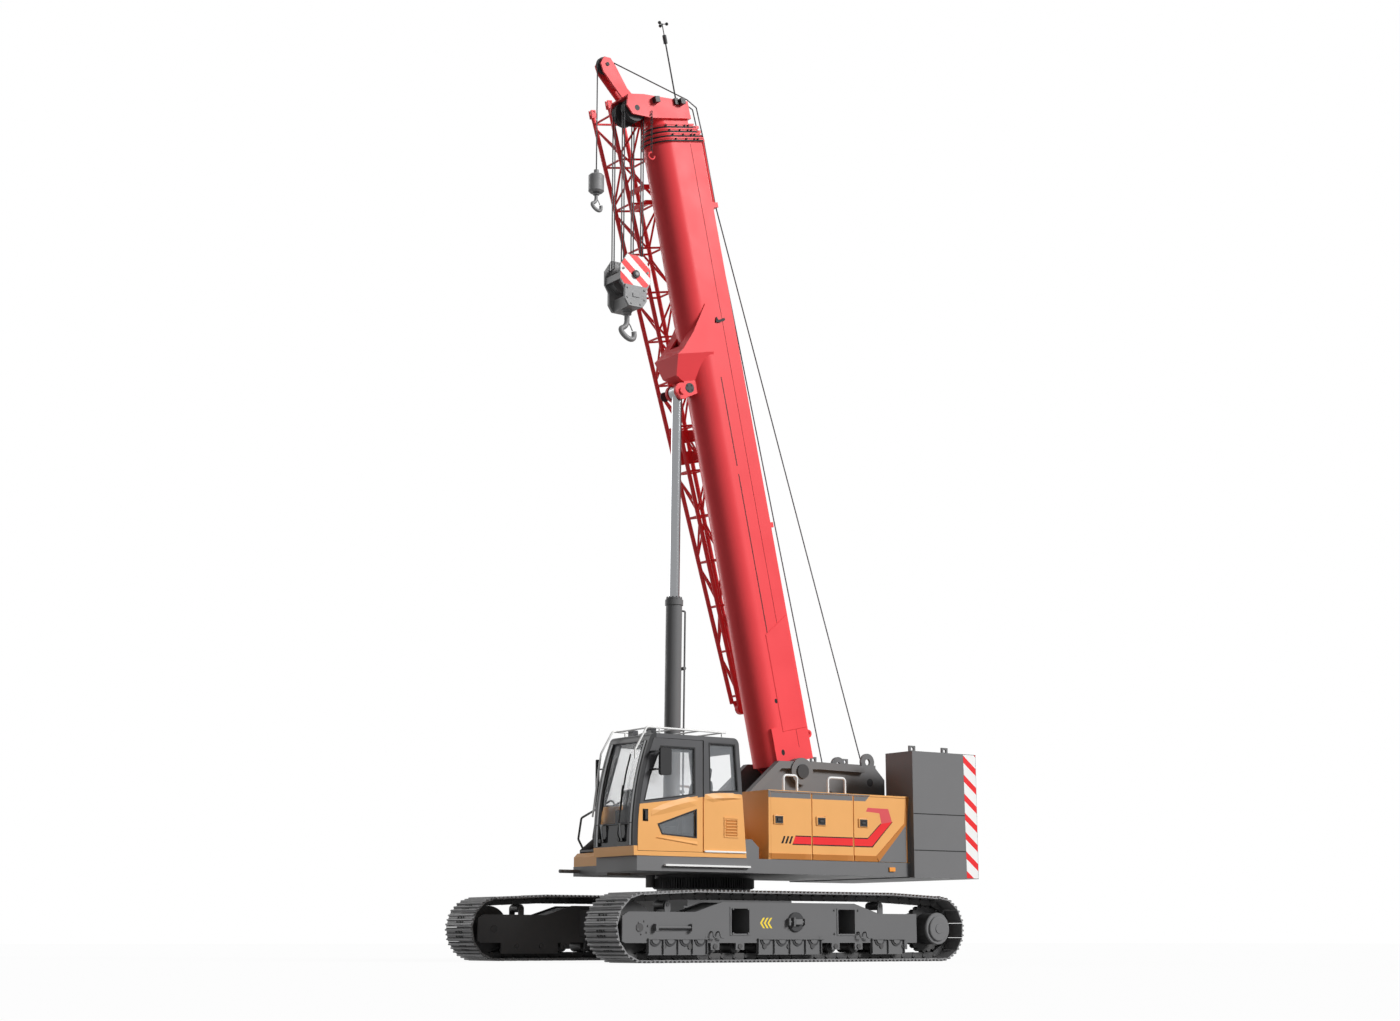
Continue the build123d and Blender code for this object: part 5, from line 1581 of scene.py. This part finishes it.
class CRANE_OT_hook_marks(Operator):
    """Stripe the hook block and add its bolts, collars and safety catches."""

    bl_idname = "crane.hook_marks"
    bl_label = "Mark the hook block"

    block = (1.40005, 10.310)
    cheek = ((0.150, 0.0), (0.270, -0.190), (0.270, -0.400), (0.196, -0.478))
    bolt_places = (
        (-0.15, -0.53), (0.15, -0.53), (-0.15, -0.68), (0.15, -0.68), (-0.08, -0.76), (0.08, -0.76),
    )
    aux_x = 1.96549

    def execute(self, context):
        x, top = self.block
        ahead = [(x + a, top + b) for a, b in self.cheek]
        cheek = ahead + [(x - a, top + b) for a, b in reversed(self.cheek)]
        mesh = bmesh.new()
        for side in (-1, 1):
            striped(mesh, shrink(cheek, 0.004), (-0.80, 1.0), 0.205, 0.5, side * 0.225, side)
        piece("block_stripes", mesh, ["mark_red", "mark_white"], "hook_block")
        mesh = bmesh.new()
        for side in (-1, 1):
            y = side * 0.245
            lathe(mesh, (x, y, top - 0.300), side, [(-0.001, 0.060), (0.010, 0.060), (0.014, 0.054)], 1, 24)
            lathe(mesh, (x, y, top - 0.300), side, [(0.0, 0.034), (0.024, 0.034), (0.030, 0.026)], 0, 24)
            for a, b in self.bolt_places:
                stem = [(x + a, y - side * SINK, top + b), (x + a, y + side * 0.012, top + b)]
                tube(mesh, stem, 0.014, 6)
            slab(mesh, (x - 0.060, x + 0.060), (y, y + side * 0.010), (top - 0.660, top - 0.600), 0, 0.003)
        piece("block_bolts", mesh, ["cast_grey", "dark_grey_and_painted_shade"], "hook_block")
        mesh = bmesh.new()
        tube(mesh, [(x, 0, 9.480), (x, 0, 9.440)], 0.070, 16)
        catch = [(x - 0.034, -0.012, 9.330), (x - 0.075, -0.010, 9.275), (x - 0.100, 0.0, 9.205)]
        tube(mesh, catch, 0.010, 8)
        piece("main_hook_catch", mesh, ["cast_grey"], "main_hook")
        mesh = bmesh.new()
        x = self.aux_x
        tube(mesh, [(x, 0, 11.240), (x, 0, 11.205)], 0.048, 16)
        tube(mesh, [(x - 0.022, 0, 11.140), (x - 0.050, 0, 11.100), (x - 0.068, 0, 11.060)], 0.007, 8)
        piece("aux_hook_catch", mesh, ["cast_grey"], "aux_hook")
        return {"FINISHED"}


class CRANE_OT_deck(Operator):
    """Add the deck's hoses, slewing teeth, pipes and small fittings."""

    bl_idname = "crane.deck"
    bl_label = "Fit out the deck"

    teeth = 116
    boom_hoses = ((-0.22, 0.10), (-0.12, 0.16), (0.12, 0.16), (0.22, 0.10))
    winch_hoses = (-0.36, 0.36)
    cylinder_foot = (0.580, 0, 1.500)
    barrel = 0.118
    pipe_ends = (0.35, 3.55)
    pipe_places = (-0.05, 0.05)
    clamps = (0.9, 1.8, 2.7)
    gland = 3.707

    def execute(self, context):
        self.ring_teeth()
        mesh = bmesh.new()
        for y, reach in self.boom_hoses:
            path = [(-0.90, y, 1.410), (-0.90, y, 1.80 + reach), (-1.30, y, 2.10 + reach), (-1.90, y, 1.95)]
            tube(mesh, rounded(path, 0.25, 8), 0.020, 10)
        for y in self.winch_hoses:
            path = [(-2.08, y, 2.43), (-2.30, y * 1.1, 2.25), (-2.35, y * 1.1, 1.80), (-2.35, y, 1.410)]
            tube(mesh, rounded(path, 0.2, 8), 0.018, 10)
        piece("deck_hoses", mesh, ["black_rubber"], "upper")
        self.cylinder()
        return {"FINISHED"}

    def ring_teeth(self):
        """Teeth round the slewing ring."""
        low, high = [Vector(corner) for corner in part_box("slew_ring_gear")]
        deep = high.z - low.z
        unit = bmesh.new()
        tooth = [(-0.011, -0.002), (0.011, -0.002), (0.006, 0.016), (-0.006, 0.016)]
        prism(unit, tooth, -deep * 0.42, deep * 0.42)
        middle = ((low.x + high.x) / 2, 0, (low.z + high.z) / 2)
        up = (0, 0, 1)
        path = circle(middle, (high.x - low.x) / 2, up, 96)
        repeated("ring_teeth", unit, path, self.teeth, up, "dark_grey_and_painted_shade", "undercarriage")

    def cylinder(self):
        """Pipes, clamps and gland bolts of the lift cylinder's barrel."""
        foot = Vector(self.cylinder_foot)
        along = (on_boom(*LIFT_EYE) - foot).normalized()
        back = Vector((-along.z, 0, along.x))

        def beside(reach, out, y=0.0):
            """Point beside the barrel."""
            return foot + along * reach + back * out + Vector((0, y, 0))

        mesh = bmesh.new()
        start, end = self.pipe_ends
        off = self.barrel + 0.047
        for y in self.pipe_places:
            path = [beside(start, self.barrel), beside(start, off)]
            path += [beside(end, off), beside(end, self.barrel)]
            tube(mesh, [p + Vector((0, y, 0)) for p in rounded(path, 0.04)], 0.014, 10)
        for reach in self.clamps:
            tube(mesh, [beside(reach, self.barrel + 0.03, y) for y in (-0.085, 0.085)], 0.026, 8)
        for y in self.pipe_places:
            tube(mesh, [beside(start, 0.10, y), beside(start, 0.17, y)], 0.024, 6)
        piece("lift_pipes", mesh, ["frame_grey"], "lift_barrel")
        rim = beside(self.gland, 0.0)
        bolts("gland_bolts", rim, 0.108, along, 12, 0.010, 0.045, "dark_grey_and_painted_shade", "lift_barrel")


class CRANE_OT_stage(Operator):
    """Set the floor, the light and the camera."""

    bl_idname = "crane.stage"
    bl_label = "Set the stage"

    key_way = (0.62, -1.0, -0.62)
    rim_way = (-0.25, 0.97, -0.25)
    floor_reach = 160
    floor_tone = 0.80
    floor_glow = 0.94

    def execute(self, context):
        stage = context.scene.crane_stage
        scene = context.scene
        scene.view_settings.view_transform = "Standard"
        self.camera(scene, stage)
        self.floor(scene, stage)
        self.world(scene, stage)
        self.sun(scene, "key", stage.key, self.key_way, 0.35)
        self.sun(scene, "rim", stage.rim, self.rim_way, 0.6)
        return {"FINISHED"}

    def camera(self, scene, stage):
        """Camera of the photograph."""
        camera = bpy.data.objects.new("camera", bpy.data.cameras.new("camera"))
        camera.data.sensor_width = 36
        camera.data.lens = stage.lens
        camera.data.clip_end = 400
        yaw, pitch = stage.camera_yaw, stage.camera_pitch
        level = math.cos(pitch)
        forward = Vector((-math.sin(yaw) * level, -math.cos(yaw) * level, math.sin(pitch)))
        camera.location = stage.camera_place
        camera.rotation_euler = forward.to_track_quat("-Z", "Y").to_euler()
        scene.collection.objects.link(camera)
        scene.camera = camera

    def seen(self, tree):
        """1 for the rays that show the background: straight, in gloss or through glass."""
        path = tree.nodes.new("ShaderNodeLightPath").outputs
        mirrored = calculate(tree, "MAXIMUM", path["Is Glossy Ray"], path["Is Transmission Ray"])
        return calculate(tree, "MAXIMUM", path["Is Camera Ray"], mirrored)

    def floor(self, scene, stage):
        """Pale floor, near white to the camera and still holding the shadow."""
        size = self.floor_reach
        mesh = bpy.data.meshes.new("floor")
        corners = [(-size, -size, 0), (size, -size, 0), (size, size, 0), (-size, size, 0)]
        mesh.from_pydata(corners, [], [(0, 1, 2, 3)])
        floor = bpy.data.objects.new("floor", mesh)
        scene.collection.objects.link(floor)
        made, tree, shader = material("floor_white")
        seen = self.seen(tree)
        tone = mixed(tree, seen, [stage.bounce] * 3, [self.floor_tone] * 3)
        tree.links.new(tone, shader.inputs["Base Color"])
        shader.inputs["Roughness"].default_value = 0.9
        glow = tree.nodes.new("ShaderNodeEmission")
        glow.inputs["Color"].default_value = (1, 1, 1, 1)
        share = calculate(tree, "MULTIPLY", seen, self.floor_glow)
        blend = tree.nodes.new("ShaderNodeMixShader")
        tree.links.new(share, blend.inputs["Fac"])
        tree.links.new(shader.outputs["BSDF"], blend.inputs[1])
        tree.links.new(glow.outputs["Emission"], blend.inputs[2])
        tree.links.new(blend.outputs["Shader"], tree.nodes["Material Output"].inputs["Surface"])
        floor.data.materials.append(made)

    def world(self, scene, stage):
        """White to the camera, a soft even light to everything else."""
        world = bpy.data.worlds.new("studio")
        scene.world = world
        world.use_nodes = True
        tree = world.node_tree
        plain = tree.nodes["Background"]
        plain.inputs["Color"].default_value = (1, 1, 1, 1)
        plain.inputs["Strength"].default_value = stage.fill
        white = tree.nodes.new("ShaderNodeBackground")
        white.inputs["Color"].default_value = (1, 1, 1, 1)
        blend = tree.nodes.new("ShaderNodeMixShader")
        tree.links.new(self.seen(tree), blend.inputs["Fac"])
        tree.links.new(plain.outputs["Background"], blend.inputs[1])
        tree.links.new(white.outputs["Background"], blend.inputs[2])
        tree.links.new(blend.outputs["Shader"], tree.nodes["World Output"].inputs["Surface"])

    def sun(self, scene, name, strength, towards, angle):
        """Soft sun lamp shining in a direction."""
        sun = bpy.data.objects.new(name, bpy.data.lights.new(name, "SUN"))
        sun.data.energy = strength
        sun.data.angle = angle
        sun.rotation_euler = Vector(towards).to_track_quat("-Z", "Y").to_euler()
        scene.collection.objects.link(sun)


class CRANE_PT_panel(Panel):
    """Lists the crane's steps."""

    bl_label = "Crane"
    bl_idname = "CRANE_PT_panel"
    bl_space_type = "VIEW_3D"
    bl_region_type = "UI"
    bl_category = "Crane"

    def draw(self, context):
        for step in steps:
            self.layout.operator(step.bl_idname)


groups = {
    "crane_paint": CranePaint, "crane_boom": BoomSettings, "crane_track": TrackSettings,
    "crane_rope": RopeSettings, "crane_stage": StageSettings,
}
steps = [
    CRANE_OT_paint, CRANE_OT_tracks, CRANE_OT_track_marks, CRANE_OT_ropes, CRANE_OT_boom_marks, CRANE_OT_cab,
    CRANE_OT_seat, CRANE_OT_covers, CRANE_OT_weight, CRANE_OT_hook_marks, CRANE_OT_deck, CRANE_OT_stage,
]


def register():
    for kind in [*groups.values(), *steps, CRANE_PT_panel]:
        bpy.utils.register_class(kind)
    for name, kind in groups.items():
        setattr(bpy.types.Scene, name, PointerProperty(type=kind))


def unregister():
    for name in groups:
        delattr(bpy.types.Scene, name)
    for kind in [CRANE_PT_panel, *reversed(steps), *reversed(list(groups.values()))]:
        bpy.utils.unregister_class(kind)


def main():
    register()
    bpy.ops.crane.paint()
    bpy.ops.crane.tracks()
    bpy.ops.crane.track_marks()
    bpy.ops.crane.ropes()
    bpy.ops.crane.boom_marks()
    bpy.ops.crane.cab()
    bpy.ops.crane.seat()
    bpy.ops.crane.covers()
    bpy.ops.crane.weight()
    bpy.ops.crane.hook_marks()
    bpy.ops.crane.deck()
    bpy.ops.crane.stage()


if __name__ == "__main__":
    main()
